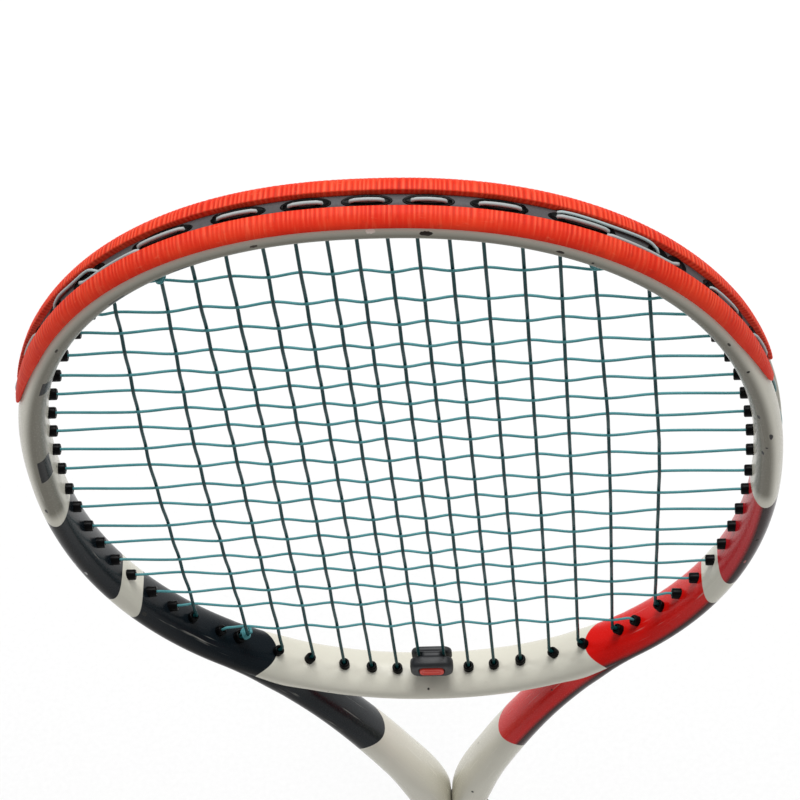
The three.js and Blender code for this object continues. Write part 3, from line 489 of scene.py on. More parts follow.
def thread(legs, start_tail, end_tail):
    """Joins woven runs into one string. A leg is (run, hole it enters by, hole it leaves by, bow)."""
    corners = list(start_tail)
    for i, (run, enter, leave, bow) in enumerate(legs):
        woven = woven_run(run)
        if np.linalg.norm(woven[0] - holes[enter]["tip"]) > np.linalg.norm(woven[-1] - holes[enter]["tip"]):
            woven.reverse()
        corners += [*through_hole(enter, 0, False), *woven, *through_hole(leave, 0, True)]
        if i + 1 < len(legs):
            corners += outside_loop(leave, legs[i + 1][1], bow)
    return corners + list(end_tail)


def tail_into(from_name, shared_name, bow):
    """A tied-off end: along the outside, in through a shared hole, and a short end inside."""
    side = SHARED[shared_name]
    hole = holes[shared_name]
    inside = hole["tip"] - hole["axis"] * KNOT_REACH + Y_STEP * side * TAIL_STEP
    loop = outside_loop(from_name, shared_name, bow)
    return [*loop, *through_hole(shared_name, side * TAIL_STEP, False), inside]


def main_legs(half):
    legs = []
    for k in range(len(MAIN_X)):
        head, throat = f"head{k}{half}", f"throat{k}{half}"
        enter, leave = (throat, head) if k % 2 else (head, throat)
        legs.append((f"main{k}{half}", enter, leave, -SIDE_STEP if k == 6 else 0))
    return legs


def main_corners():
    left = main_legs("-")
    flipped = [(run, leave, enter, left[i - 1][3] if i else 0)
               for i, (run, enter, leave, _) in enumerate(left)]
    legs = flipped[::-1] + main_legs("+")
    start = tail_into("head7-", "head6-", -SIDE_STEP)[::-1]
    return thread(legs, start, tail_into("head7+", "head6+", -SIDE_STEP))


def cross_corners():
    legs = []
    for j in range(len(CROSS_Z)):
        enter, leave = (f"cross{j}-", f"cross{j}+") if j % 2 else (f"cross{j}+", f"cross{j}-")
        bow = SIDE_STEP if j in (0, len(CROSS_Z) - 2) else 0
        legs.append((f"cross{j}", enter, leave, bow))
    start = tail_into("cross0+", "head5+", SIDE_STEP)[::-1]
    return thread(legs, start, tail_into(f"cross{len(CROSS_Z) - 1}-", "throat6-", SIDE_STEP))


def smooth_path(corners, spacing=1.6):
    """A rounded path through the corners, by a centripetal Catmull-Rom curve."""
    def blend(t, low, high, first, second):
        return ((high - t) * first + (t - low) * second) / (high - low)

    points = np.array(corners)
    points = np.vstack([2 * points[0] - points[1], points, 2 * points[-1] - points[-2]])
    result = []
    for p0, p1, p2, p3 in zip(points, points[1:], points[2:], points[3:]):
        pairs = ((p0, p1), (p1, p2), (p2, p3))
        k0, k1, k2, k3 = np.cumsum([0, *(math.sqrt(np.linalg.norm(b - a)) + 1e-6 for a, b in pairs)])
        t = np.linspace(k1, k2, max(2, round(np.linalg.norm(p2 - p1) / spacing)), endpoint=False)[:, None]
        a1, a2, a3 = blend(t, k0, k1, p0, p1), blend(t, k1, k2, p1, p2), blend(t, k2, k3, p2, p3)
        result.append(blend(t, k1, k2, blend(t, k0, k2, a1, a2), blend(t, k1, k3, a2, a3)))
    return np.vstack([*result, points[-2]])


def tube_rings(path, radius, sides=10):
    """Rings round a path with rounded ends, turned as little as possible from one to the next."""
    path = np.asarray(path)
    tangents = np.gradient(path, axis=0)
    tangents /= np.linalg.norm(tangents, axis=1)[:, None]
    side = unit(np.cross(tangents[0], [0.3, 0.9, 0.2]))
    angles = np.linspace(0, 2 * math.pi, sides, endpoint=False)
    rings = []
    for i, (p, t) in enumerate(zip(path, tangents)):
        side = unit(side - t * (side @ t))
        up = np.cross(t, side)
        ring = np.outer(np.cos(angles), side) + np.outer(np.sin(angles), up)
        rings.append(p + ring * radius)
        if i == 0:
            rings.insert(0, p - t * radius * 0.35 + ring * radius * 0.75)
    return [*rings, p + t * radius * 0.35 + ring * radius * 0.75]


# ---------------------------------------------------------------- material nodes
class Field:
    """A number that varies over a surface, with arithmetic that adds nodes."""

    def __init__(self, shade, socket):
        self.shade, self.socket = shade, socket

    def math(self, operation, *others):
        node = self.shade.add("ShaderNodeMath", operation=operation)
        for i, value in enumerate((self, *others)):
            self.shade.put(node.inputs[i], value)
        return Field(self.shade, node.outputs[0])

    def __add__(self, other):
        return self.math("ADD", other)

    def __sub__(self, other):
        return self.math("SUBTRACT", other)

    def __mul__(self, other):
        return self.math("MULTIPLY", other)

    def abs(self):
        return self.math("ABSOLUTE")

    def max(self, other):
        return self.math("MAXIMUM", other)

    def min(self, other):
        return self.math("MINIMUM", other)

    def step(self, low, high, start=0.0, end=1.0):
        """A smooth step from start to end as this value goes from low to high."""
        node = self.shade.add("ShaderNodeMapRange", interpolation_type="SMOOTHSTEP")
        names = ("Value", "From Min", "From Max", "To Min", "To Max")
        for name, value in zip(names, (self, low, high, start, end)):
            self.shade.put(node.inputs[name], value)
        return Field(self.shade, node.outputs[0])


class Shade:
    """A material with one principled shader, built up by code."""

    def __init__(self, name, **uniform):
        self.material = bpy.data.materials.new(name)
        self.material.use_nodes = True
        self.tree = self.material.node_tree
        self.shader = next(node for node in self.tree.nodes if node.type == "BSDF_PRINCIPLED")
        for key, value in uniform.items():
            self.shader.inputs[key.replace("_", " ")].default_value = value

    def add(self, kind, **settings):
        node = self.tree.nodes.new(kind)
        for key, value in settings.items():
            setattr(node, key, value)
        return node

    def put(self, socket, value):
        if isinstance(value, Field):
            self.tree.links.new(value.socket, socket)
        elif isinstance(value, bpy.types.NodeSocket):
            self.tree.links.new(value, socket)
        else:
            socket.default_value = value

    def track(self):
        """Distance along the frame, height above the middle of its wall, and depth, in millimetres."""
        return self.parts(self.add("ShaderNodeAttribute", attribute_name="track").outputs["Vector"])

    def attribute(self, name):
        return Field(self, self.add("ShaderNodeAttribute", attribute_name=name).outputs["Fac"])

    def place(self):
        """Object coordinates in millimetres."""
        node = self.add("ShaderNodeTexCoord")
        grow = self.add("ShaderNodeVectorMath", operation="SCALE")
        grow.inputs["Scale"].default_value = 1 / MM
        self.tree.links.new(node.outputs["Object"], grow.inputs[0])
        return grow.outputs[0]

    def parts(self, vector):
        node = self.add("ShaderNodeSeparateXYZ")
        self.tree.links.new(vector, node.inputs[0])
        return [Field(self, output) for output in node.outputs]

    def vector(self, x, y, z):
        node = self.add("ShaderNodeCombineXYZ")
        for socket, value in zip(node.inputs, (x, y, z)):
            self.put(socket, value)
        return node.outputs[0]

    def noise(self, size, detail=3.0, vector=None, roughness=0.55):
        """Cloudy variation round 0.5, of the given size in millimetres."""
        node = self.add("ShaderNodeTexNoise")
        self.tree.links.new(vector or self.place(), node.inputs["Vector"])
        node.inputs["Scale"].default_value = 1 / size
        node.inputs["Detail"].default_value = detail
        node.inputs["Roughness"].default_value = roughness
        return Field(self, node.outputs[0])

    def spots(self, size):
        """Distance from scattered points, in cells of the given size in millimetres."""
        node = self.add("ShaderNodeTexVoronoi")
        self.tree.links.new(self.place(), node.inputs["Vector"])
        node.inputs["Scale"].default_value = 1 / size
        return Field(self, node.outputs["Distance"])

    def mix(self, amount, first, second):
        node = self.add("ShaderNodeMix", data_type="RGBA")
        self.put(node.inputs[0], amount)
        self.put(node.inputs[6], first)
        self.put(node.inputs[7], second)
        return node.outputs[2]

    def colour(self, value):
        self.put(self.shader.inputs["Base Color"], value)

    def roughness(self, value):
        self.put(self.shader.inputs["Roughness"], value)

    def bump(self, height, distance):
        """Fine relief: a height from 0 to 1 stands for the given distance in millimetres."""
        node = self.add("ShaderNodeBump")
        self.put(node.inputs["Height"], height)
        node.inputs["Distance"].default_value = distance * MM
        self.tree.links.new(node.outputs[0], self.shader.inputs["Normal"])


def rgb(red, green, blue):
    """A colour given as it looks on a screen, 0 to 255."""
    def linear(value):
        value /= 255
        return value / 12.92 if value <= 0.04045 else ((value + 0.055) / 1.055) ** 2.4
    return (linear(red), linear(green), linear(blue), 1.0)


def band(value, low, high, soft=0.15):
    """1 between two values and 0 outside them."""
    return value.step(low - soft, low + soft) * value.step(high - soft, high + soft, 1, 0)


# ---------------------------------------------------------------- materials
# The dark and red panels start at one height, stop for a pale band, and end on the bridge and on the arm.
PANEL_START, BAND_START, BAND_END = (oval.down_to(z) for z in (501, 444, 429))
BRIDGE_PANEL_END = oval.narrowed_to(64)
ARM_PANEL_END = hairpin.down_to(300)
AROUND = 0.4 * BEAM  # turns an angle round the section into a distance along its surface

# Blocks on the inner front shoulder: where each starts and ends along the frame.
DARK_MARKS = [(-220, -206), (-160, -152), (-96, -88), (-66, -60)]
# Chips in the paint: distance along the frame, distance round the section from its front, size, colour.
CHIPS = [
    (18, 1.8, 2.6, rgb(44, 38, 34)), (95, -4.5, 2.6, rgb(26, 26, 26)), (-36, 1.0, 1.6, rgb(70, 62, 54)),
    (189, -3.2, 1.7, rgb(20, 20, 20)), (202, 1.4, 2.2, rgb(16, 16, 16)), (214, -3.8, 1.5, rgb(24, 24, 24)),
    (-240, 1.5, 1.6, rgb(40, 38, 34)), (-328, -4.5, 2.0, rgb(40, 40, 38)),
    (-288, 1.0, 1.4, rgb(170, 170, 168)), (-281, 3.2, 1.2, rgb(160, 160, 158)),
    (61, 1.2, 1.6, rgb(50, 42, 36)), (292, 0.6, 1.3, rgb(150, 90, 86)), (1, 3.2, 2.2, rgb(244, 232, 222)),
    (140, 1.5, 1.3, rgb(60, 56, 50)), (-130, 0.5, 1.4, rgb(64, 60, 54)),
]


def frame_paint():
    shade = Shade("frame_paint", Coat_Weight=0.03, Coat_Roughness=0.08, Specular_IOR_Level=0.14)
    s, out, depth = shade.track()
    side = shade.parts(shade.place())[0].step(-0.5, 0.5)
    along = s.abs() + out * out * 0.05 - depth * depth * 0.02
    reach = shade.attribute("reach") - depth * depth * 0.06
    inside = reach.step(-0.2, 0.2)
    first = band(along, PANEL_START, BAND_START)
    second = along.step(BAND_END - 0.15, BAND_END + 0.15) * inside
    # The outer half of the section, where the panels get painted shade.
    outer = out.step(-2.4, -0.4)
    cloud = shade.noise(38, 2)
    cream = shade.mix(cloud, rgb(208, 205, 191), rgb(222, 219, 206))
    # Painted shade: a darker greige band on the front face of the upper hoop, ahead of the panels.
    inner = (out * (BEAM / WALL)).math("ARCTAN2", depth.abs()) * AROUND
    shoulder = (inner.step(-9.5, -6.5) * inner.step(-0.5, 4.5, 1, 0)
                * s.abs().step(PANEL_START - 8, PANEL_START, 1, 0))
    cream = shade.mix(shoulder * 0.85, cream, rgb(98, 94, 81))
    speckle = shade.noise(0.5, 1)
    cream = shade.mix(speckle.step(0.6, 0.75) * 0.12, cream, rgb(150, 146, 132))
    # Painted shade: each panel colour darkens to near black on the outer half of the section.
    night = shade.mix(outer, rgb(16, 23, 28), rgb(4, 4, 5))
    crimson = shade.mix(outer, rgb(196, 30, 38), rgb(38, 8, 9))
    scarlet = shade.mix(outer, rgb(214, 20, 15), rgb(42, 7, 6))
    right = shade.mix(second, crimson, scarlet)
    paint = shade.mix((first + second).min(1.0), cream, shade.mix(side, night, right))
    around = (out * (BEAM / WALL)).math("ARCTAN2", depth * -1) * AROUND
    for start, end in DARK_MARKS:
        paint = shade.mix(band(s, start, end) * band(around, -8.4, -1.4, 0.3), paint, rgb(5, 6, 8))
    ragged = shade.noise(1.1, 2)
    for at, turned, size, tone in CHIPS:
        spread = (((s - at) * (1 / size)).math("POWER", 2)
                  + ((around - turned) * (1.7 / size)).math("POWER", 2))
        paint = shade.mix((spread + ragged * 1.6).step(1.3, 1.6, 1, 0), paint, tone)
    streak = shade.noise(1.6, 2, shade.vector(s * 0.06, out, depth))
    paint = shade.mix(streak.step(0.66, 0.78) * 0.35, paint, rgb(206, 203, 194))
    chips = shade.spots(11).step(0.045, 0.075, 1, 0) * shade.noise(30, 1).step(0.5, 0.56)
    paint = shade.mix(chips, paint, rgb(38, 34, 32))
    shade.colour(paint)
    shade.roughness((speckle * 0.12 + 0.2 + streak.step(0.6, 0.8) * 0.12 + chips * 0.4).min(0.9))
    shade.bump(shade.noise(1.4, 2) * 0.5 - chips * 0.8, 0.05)
    return shade.material


def bumper_plastic():
    shade = Shade("bumper_plastic", Specular_IOR_Level=0.15)
    s, out, depth = shade.track()
    rib_light_and_shade = shade.attribute("rib_light_and_shade")
    cloud = shade.noise(16, 3)
    base = shade.mix(cloud.step(0.3, 0.7), rgb(220, 42, 18), rgb(230, 58, 28))
    brushed = shade.noise(0.9, 2, shade.vector(s, out * 0.1, depth * 0.1))
    base = shade.mix(brushed.step(0.52, 0.75) * 0.3, base, rgb(244, 108, 72))
    # Painted highlight on the rib crests, and painted shade in the troughs between them.
    base = shade.mix(rib_light_and_shade.max(0.0) * 0.4, base, rgb(246, 122, 88))
    base = shade.mix((rib_light_and_shade * -1).max(0.0) * 0.45, base, rgb(128, 20, 12))
    scuff = shade.noise(2.2, 4, shade.vector(s * 0.35, out, depth * 1.4), 0.7)
    base = shade.mix(scuff.step(0.62, 0.78) * 0.35, base, rgb(238, 130, 98))
    grime = shade.noise(5, 4).step(0.62, 0.8)
    base = shade.mix(grime * 0.3, base, rgb(120, 30, 22))
    shade.colour(base)
    shade.roughness((scuff * 0.3 + 0.42).min(0.85))
    shade.bump(shade.noise(0.45, 3) * 0.6 + scuff.step(0.6, 0.74) * 0.4, 0.07)
    return shade.material


def strip_plastic(name, floor_colour):
    """Moulded strip: its base in one colour, and black where seats and barrels are."""
    shade = Shade(name, Specular_IOR_Level=0.08)
    grain = shade.noise(0.7, 3)
    floor = shade.mix(grain, floor_colour, tuple(0.62 * c for c in floor_colour[:3]) + (1.0,))
    black = shade.mix(shade.noise(3, 2), rgb(2, 2, 3), rgb(8, 8, 9))
    shade.colour(shade.mix(shade.attribute("moulded"), floor, black))
    shade.roughness(grain * 0.25 + 0.24)
    shade.bump(grain, 0.03)
    return shade.material


def string_nylon(name, dark, light):
    """Glossy filament; where it lies in the channel, a silvery grey painted highlight is mixed in."""
    shade = Shade(name, Specular_IOR_Level=0.12)
    fine = shade.noise(0.35, 2)
    base = shade.mix(shade.noise(9, 2), dark, light)
    base = shade.mix(fine.step(0.58, 0.8) * 0.25, base, rgb(96, 190, 196))
    # Painted highlight: a silvery grey where the string lies over the lip in the channel.
    shade.colour(shade.mix(shade.attribute("outside") * 0.75, base, rgb(190, 196, 196)))
    shade.roughness(fine * 0.2 + 0.16)
    shade.bump(fine, 0.03)
    return shade.material


def grip_leather():
    """Synthetic leather with rows of punched holes and a fine pebbled grain."""
    shade = Shade("grip_leather", Sheen_Weight=0.15, Sheen_Roughness=0.5)
    around, across, _ = shade.track()
    dots = shade.add("ShaderNodeTexVoronoi", feature="F1", voronoi_dimensions="2D")
    shade.put(dots.inputs["Vector"], shade.vector(around, across, 0.0))
    dots.inputs["Scale"].default_value = 1 / 2.9
    dots.inputs["Randomness"].default_value = 0.0
    hole = Field(shade, dots.outputs["Distance"]).step(0.11, 0.17, 1, 0)
    pebble = shade.spots(0.9)
    wear = shade.noise(26, 4)
    base = shade.mix(wear.step(0.35, 0.7), rgb(24, 25, 27), rgb(46, 46, 47))
    base = shade.mix(shade.attribute("seam"), base, rgb(14, 14, 15))
    shade.colour(shade.mix(hole, base, rgb(5, 5, 5)))
    shade.roughness(wear * 0.25 + 0.48)
    shade.bump(pebble * 0.35 - hole, 0.3)
    return shade.material


def rubber(name, dark, light, size=1.2, relief=0.06, roughness=0.55, **uniform):
    """Moulded rubber or plastic with a fine grain, soft colour clouds and light scuffs."""
    shade = Shade(name, **uniform)
    grain = shade.noise(size * 0.4, 3)
    cloud = shade.noise(size * 18, 3)
    scuff = shade.noise(size * 1.5, 4, roughness=0.7).step(0.62, 0.78)
    base = shade.mix(cloud.step(0.3, 0.7), dark, light)
    shade.colour(shade.mix(scuff * 0.25, base, tuple(min(1, 2.2 * c + 0.01) for c in light[:3]) + (1.0,)))
    shade.roughness(grain * 0.2 + (roughness - 0.1) + scuff * 0.1)
    shade.bump(grain, relief)
    return shade.material


def handle_foam():
    shade = Shade("handle_foam")
    cells = shade.spots(0.8)
    shade.colour(shade.mix(cells, rgb(150, 134, 104), rgb(196, 182, 150)))
    shade.roughness(cells * 0.2 + 0.7)
    shade.bump(cells, 0.15)
    return shade.material


paint = frame_paint()
grommet_plastic = strip_plastic("grommet_plastic", rgb(20, 21, 23))
# Painted light: the same string as a shaded copy for the mains and a lit copy for the crosses.
main_nylon_shaded = string_nylon("main_nylon_shaded", rgb(8, 48, 50), rgb(16, 74, 77))
cross_nylon_lit = string_nylon("cross_nylon_lit", rgb(56, 118, 123), rgb(96, 160, 165))

# ---------------------------------------------------------------- frame
GROOVE_FLANK = [(0, GROOVE_DEPTH), (3.4, GROOVE_DEPTH), (3.85, GROOVE_DEPTH - 0.4), (GROOVE_HALF, 0.35)]


def tube_outline(wall, beam, power, groove):
    """The frame's section, its string groove cut to a share of the full depth."""
    lip = outer_at(GROOVE_HALF, wall, beam, power)
    cut = [(outer_at(y, wall, beam, power) * (1 - groove) + (lip - sunk) * groove, y)
           for y, sunk in GROOVE_FLANK]
    lip_angle = math.degrees(math.asin((GROOVE_HALF / (beam / 2)) ** (power / 2)))
    return mirrored(np.vstack([cut, skin(np.linspace(lip_angle + 1.5, 180, 22), 0, wall, beam, power)]))


def frame_size(s):
    grown = smooth(groove_end, shaft_s - 40, abs(s))
    squared = smooth(shaft_s - 50, shaft_s, abs(s))
    return (WALL + (THROAT_WALL - WALL) * grown, BEAM + (THROAT_BEAM - BEAM) * grown,
            POWER + SHAFT_SQUARING * squared)


def swell(rings, places, stops, track, other, radius=9.0):
    """Swells a tube where the other one joins it, so that the two flow into each other."""
    line = np.array([other.at(s) for s in np.arange(leave_s - 30, min(other.end, shaft_s), 1.0)])
    for ring, place, s in zip(rings, places, stops):
        x, z, nx, nz = track.at(s)
        apart = np.hypot(abs(x) - line[:, 0], z - line[:, 1]).min()
        if apart > 3 * WALL or abs(s) < leave_s:
            continue
        side = math.copysign(1, x)
        dx = side * ring[:, :1] - line[:, 0]
        dz = ring[:, 2:] - line[:, 1]
        nearest = np.hypot(dx, dz).argmin(axis=1)
        rows = np.arange(len(ring))
        out = dx[rows, nearest] * line[nearest, 2] + dz[rows, nearest] * line[nearest, 3]
        gauge = ((np.abs(out) / (WALL / 2)) ** POWER
                 + (np.abs(ring[:, 1]) / (BEAM / 2)) ** POWER) ** (1 / POWER)
        distance = np.hypot(out, ring[:, 1]) * (1 - 1 / np.maximum(gauge, 0.05))
        lift = np.clip(radius - np.abs(distance), 0, None) ** 2 / (4 * radius) * smooth(1.5, 9, apart)
        in_groove = (place[:, 1] > 0) & (np.abs(place[:, 2]) < GROOVE_HALF + 0.7)
        lift[in_groove] = 0
        across, deep = place[:, 1] / (WALL / 2) ** 2, place[:, 2] / (BEAM / 2) ** 2
        size = np.hypot(across, deep) + 1e-9
        ring += np.column_stack([nx * across, 0.35 * deep, nz * across]) * (lift / size)[:, None]


def both_ways(start, end, step):
    """Stops from the -X side to the +X side, evenly spaced."""
    half = spaced(start, end, step)
    return np.concatenate([-half[::-1], half[1:] if start == 0 else half])


frame_stops = both_ways(0, hairpin.end, 2.4)
frame_rings, frame_places = sweep_rings(
    hairpin, frame_stops,
    lambda s: tube_outline(*frame_size(s), 1 - smooth(groove_end - 3, groove_end + 1, abs(s))),
)
swell(frame_rings, frame_places, frame_stops, hairpin, oval)
tube = Build()
tube.add(
    frame_rings, track=np.vstack(frame_places),
    reach=np.concatenate([np.full(len(ring), ARM_PANEL_END - abs(s))
                          for ring, s in zip(frame_rings, frame_stops)]),
)
tube.object("frame_tube", "frame_hairpin", paint)


def lower_stops(start, step):
    """Round the lower end of the oval, from the +X side to the -X side."""
    half = spaced(start, oval.end, step)
    return np.concatenate([half, -half[-2::-1]])


def bridge_outline(s):
    tuck = 0.5 * (1 - smooth(leave_s - 14, leave_s + 14, abs(s)))
    return tube_outline(WALL - tuck, BEAM - tuck, POWER, smooth(gusset_s - 3, gusset_s - 1, abs(s)))


bridge_stops = lower_stops(leave_s - 14, 1.8)
bridge_rings, bridge_places = sweep_rings(oval, bridge_stops, bridge_outline)
for places in bridge_places:
    places[:, 0] = abs(places[:, 0])
swell(bridge_rings, bridge_places, bridge_stops, oval, hairpin)
bridge = Build()
bridge.add(
    bridge_rings, track=np.vstack(bridge_places),
    reach=np.concatenate([np.full(len(ring), BRIDGE_PANEL_END - abs(s)) for ring, s in
                          zip(bridge_rings, bridge_stops)]),
)
bridge.object("frame_bridge", "throat_bridge", paint)

# ---------------------------------------------------------------- bumper guard
RIB_PITCH, RIB_DEPTH = 1.65, 0.24


def bumper_outline(s):
    """Half of the section, and how strongly each of its points is ribbed."""
    taper = np.clip((BUMPER_END - abs(s)) / BUMPER_TAPER, 0, 1)
    tongue = math.sqrt(taper)
    cover = 27 + (BUMPER_COVER - 27) * tongue
    crest = 1.2 + (CREST - 1.2) * tongue
    edge = 0.7 + 0.3 * taper
    web = LIP + HEAD_STRIP_TOP - STRIP_THICK - GAP
    share = np.linspace(0.06, 1, 13)
    angles = 25 + (cover - 25) * share
    lifts = crest * (1 - share ** 2) + (edge + GAP) * share ** 2
    rail = np.array([skin(a, lift)[0] for a, lift in zip(angles, lifts)])
    channel = [(web, 0), (web, BUMPER_CHANNEL - 0.1), (LIP + crest - 0.5, BUMPER_CHANNEL),
               (LIP + crest - 0.15, BUMPER_CHANNEL + 0.12), (LIP + crest, BUMPER_CHANNEL + 0.45)]
    under = [skin(cover + 0.6, GAP + edge * 0.5)[0], skin(cover, GAP + 0.05)[0],
             skin(25 + (cover - 25) * 0.4, 0.5)[0],
             (LIP + GAP + 0.15, GROOVE_HALF - GAP), (LIP - GROOVE_DEPTH + GAP, GROOVE_HALF - GAP - 0.1),
             (LIP - GROOVE_DEPTH + GAP, 0)]
    half = np.vstack([channel, rail, under])
    ribbed = np.concatenate([[0, 0, 0.6, 1, 1], (1 - share) ** 2.6, np.zeros(len(under))])
    return half, ribbed


def bumper_rings(stops):
    rings, places, rib_shading_values = [], [], []
    for s in stops:
        half, ribbed = bumper_outline(s)
        worn = 0.7 + 0.3 * math.sin(s * 0.9 + 2 * math.sin(s * 0.23)) * math.sin(s * 0.11 + 1)
        front = ribbed * worn
        back = np.where(ribbed > 0, 0.35 + 0.65 * ribbed, 0) * (1.7 - worn)
        outline = mirrored(half)
        strength = np.concatenate([back, front[1:-1][::-1]])
        phase = s / RIB_PITCH + 0.3 * math.sin(s * 0.31) + 0.16 * math.sin(s * 0.83 + 1)
        wave = 0.5 + 0.5 * math.cos(2 * math.pi * phase)
        middle = np.array([LIP - 2, 0])
        inward = middle - outline
        inward /= np.linalg.norm(inward, axis=1)[:, None]
        outline = outline + inward * (RIB_DEPTH * strength * wave)[:, None]
        x, z, nx, nz = oval.at(s)
        rings.append(np.column_stack([x + nx * outline[:, 0], outline[:, 1], z + nz * outline[:, 0]]))
        places.append(np.column_stack([np.full(len(outline), s), outline]))
        # Rib colour value: positive on the crests for painted highlight, negative in the troughs for painted
        # shade.
        rib_shading_values.append(strength * (1 - 2 * wave))
    return rings, np.vstack(places), np.concatenate(rib_shading_values)


rail_rings, rail_places, rail_rib_shading = bumper_rings(both_ways(0, BUMPER_END, RIB_PITCH / 6))
guard = Build()
guard.add(rail_rings, track=rail_places, rib_light_and_shade=rail_rib_shading)
guard.object("bumper_rails", "bumper_guard", bumper_plastic())


# ---------------------------------------------------------------- grommet strips
def strip_outline(top, half):
    bottom = top - STRIP_THICK
    return np.array([(bottom, -half), (top - 0.3, -half), (top, 0.3 - half), (top, half - 0.3),
                     (top - 0.3, half), (bottom, half)])


def round_ring(centre, axis, radius, sides=14):
    side = unit(np.cross(axis, [0, 1.0, 0]))
    up = np.cross(axis, side)
    angle = np.linspace(0, 2 * math.pi, sides, endpoint=False)
    return centre + radius * (np.outer(np.cos(angle), side) + np.outer(np.sin(angle), up))


def middle_of(name):
    """The middle of a barrel's tip, which a shared one has between its two strings."""
    return holes[name]["tip"] + Y_STEP * SHARED.get(name, 0) * TAIL_STEP / 2


def add_barrel(build, name):
    """A stubby tube from the strip to its rounded tip, open where the string leaves it."""
    axis = holes[name]["axis"]
    radius, bore = (SHARED_RADIUS, 1.75) if name in SHARED else (BARREL_RADIUS - 0.12, 1.0)
    root = hole_depth[name] - STRING_RADIUS - GAP - STRIP_THICK + 0.3
    profile = [(radius, root), (radius, 0.55), (radius - 0.1, 0.18), (radius - 0.35, 0), (bore + 0.25, 0),
               (bore, 0.25), (bore - 0.1, 2.4)]
    tip = middle_of(name) + axis * TIP_TRIM
    build.add([round_ring(tip + axis * t, axis, r) for r, t in profile], moulded=1.0)


def add_seat(build, track, top, middle, half_length):
    """The oval dish with a raised rim in which a string lies on the outer face of a strip."""
    angle = np.linspace(0, 2 * math.pi, 32, endpoint=False)
    rings = []
    for inset, height in ((0, -0.3), (0.05, 0.2), (0.35, 0.32), (0.8, 0.1), (1.7, 0.02)):
        ring = []
        for a in angle:
            s = middle + (half_length - inset) * math.cos(a)
            ring.append(track.place(s, top + height, (2.5 - inset) * math.sin(a)))
        rings.append(np.array(ring))
    build.add(rings, moulded=1.0)


def seats(names):
    """The loops that have a dish of their own, and the single holes that are left."""
    at = {name: holes[name]["side"] * holes[name]["track_s"] for name in names}
    found, used = [], set()
    for pair in LOOPED:
        if all(name in at for name in pair):
            a, b = (at[name] for name in pair)
            found.append(((a + b) / 2, abs(b - a) / 2 + 3.0))
            used |= set(pair)
    return found + [(s, 4.4) for name, s in at.items() if name not in used]


LOOPED = [("head0-", "head0+")] + [(f"head{k}{h}", f"head{k + 1}{h}") for k in (1, 3, 5) for h in "+-"]


def strip(name, node, slot, material, track, stops, top, half, hole_names):
    build = Build()
    rings, _ = sweep_rings(track, stops, lambda s: strip_outline(top, half))
    build.add(rings, moulded=0.0)
    for hole_name in hole_names:
        add_barrel(build, hole_name)
    for middle, half_length in seats(hole_names):
        add_seat(build, track, top, middle, half_length)
    build.object(name, node, material)


head_names = [n for n, h in holes.items() if not h["on_bridge"] and h["track_s"] < HEAD_STRIP_END]
bridge_names = [n for n, h in holes.items() if h["on_bridge"]]
side_names = {
    side: [n for n, h in holes.items() if h["side"] == side and n not in head_names and n not in bridge_names]
    for side in (1, -1)
}
strip("head_strip", "head_grommet_strip", "channel", strip_plastic("channel_plastic", rgb(92, 92, 94)), oval,
      both_ways(0, HEAD_STRIP_END, 2.5), LIP + HEAD_STRIP_TOP, HEAD_STRIP_HALF, head_names)
for side, word in ((1, "right"), (-1, "left")):
    strip(f"side_strip_{word}", f"side_grommet_strip_{word}", "grommet", grommet_plastic, hairpin,
          side * spaced(SIDE_STRIP_START, groove_end - 4, 2.5), LIP + SIDE_STRIP_TOP, STRIP_HALF,
          side_names[side])
strip("throat_strip", "throat_grommet_strip", "grommet", grommet_plastic, oval,
      lower_stops(gusset_s + 1, 2.5), LIP + SIDE_STRIP_TOP, STRIP_HALF, bridge_names)


# ---------------------------------------------------------------- strings
def height_above(track, points):
    """How far points lie outside the middle of the frame's wall."""
    line = np.array([track.at(s) for s in np.arange(0, track.end, 1.5)])
    dx = np.abs(points[:, :1]) - line[:, 0]
    dz = points[:, 2:] - line[:, 1]
    nearest = np.hypot(dx, dz).argmin(axis=1)
    rows = np.arange(len(points))
    return dx[rows, nearest] * line[nearest, 2] + dz[rows, nearest] * line[nearest, 3]


def string_object(name, node, path, material, radius=STRING_RADIUS):
    build = Build()
    rings = tube_rings(path, radius)
    points = np.vstack(rings)
    # Painted highlight mask: the string over the lip in the head's channel, for the silvery grey.
    lip_highlight = smooth(LIP - 1.5, LIP, height_above(oval, points))
    build.add(rings, outside=lip_highlight * smooth(560, 575, points[:, 2]))
    build.object(name, node, material)


string_object("main_strings", "main_string", smooth_path(main_corners()), main_nylon_shaded)
string_object("cross_strings", "cross_string", smooth_path(cross_corners()), cross_nylon_lit, CROSS_RADIUS)


def wound_knot(name, node, hole_name):
    """Two and a half turns of string round the tail and the string beside it."""
    inward = -holes[hole_name]["axis"]
    side = unit(np.cross(inward, Y_STEP))
    turn = np.linspace(0, 2 * math.pi * 2.5, 70)
    rise = 0.75 + turn / (2 * math.pi) * 1.02
    path = (middle_of(hole_name) + np.outer(rise, inward) + 1.28 * np.outer(np.cos(turn), side)
            + 2.1 * np.outer(np.sin(turn), Y_STEP))
    string_object(name, node, path, cross_nylon_lit)


wound_knot("knot_main_left", "main_knot_left", "head6-")
wound_knot("knot_main_right", "main_knot_right", "head6+")
wound_knot("knot_cross_head", "cross_knot_head", "head5+")
wound_knot("knot_cross_throat", "cross_knot_throat", "throat6-")


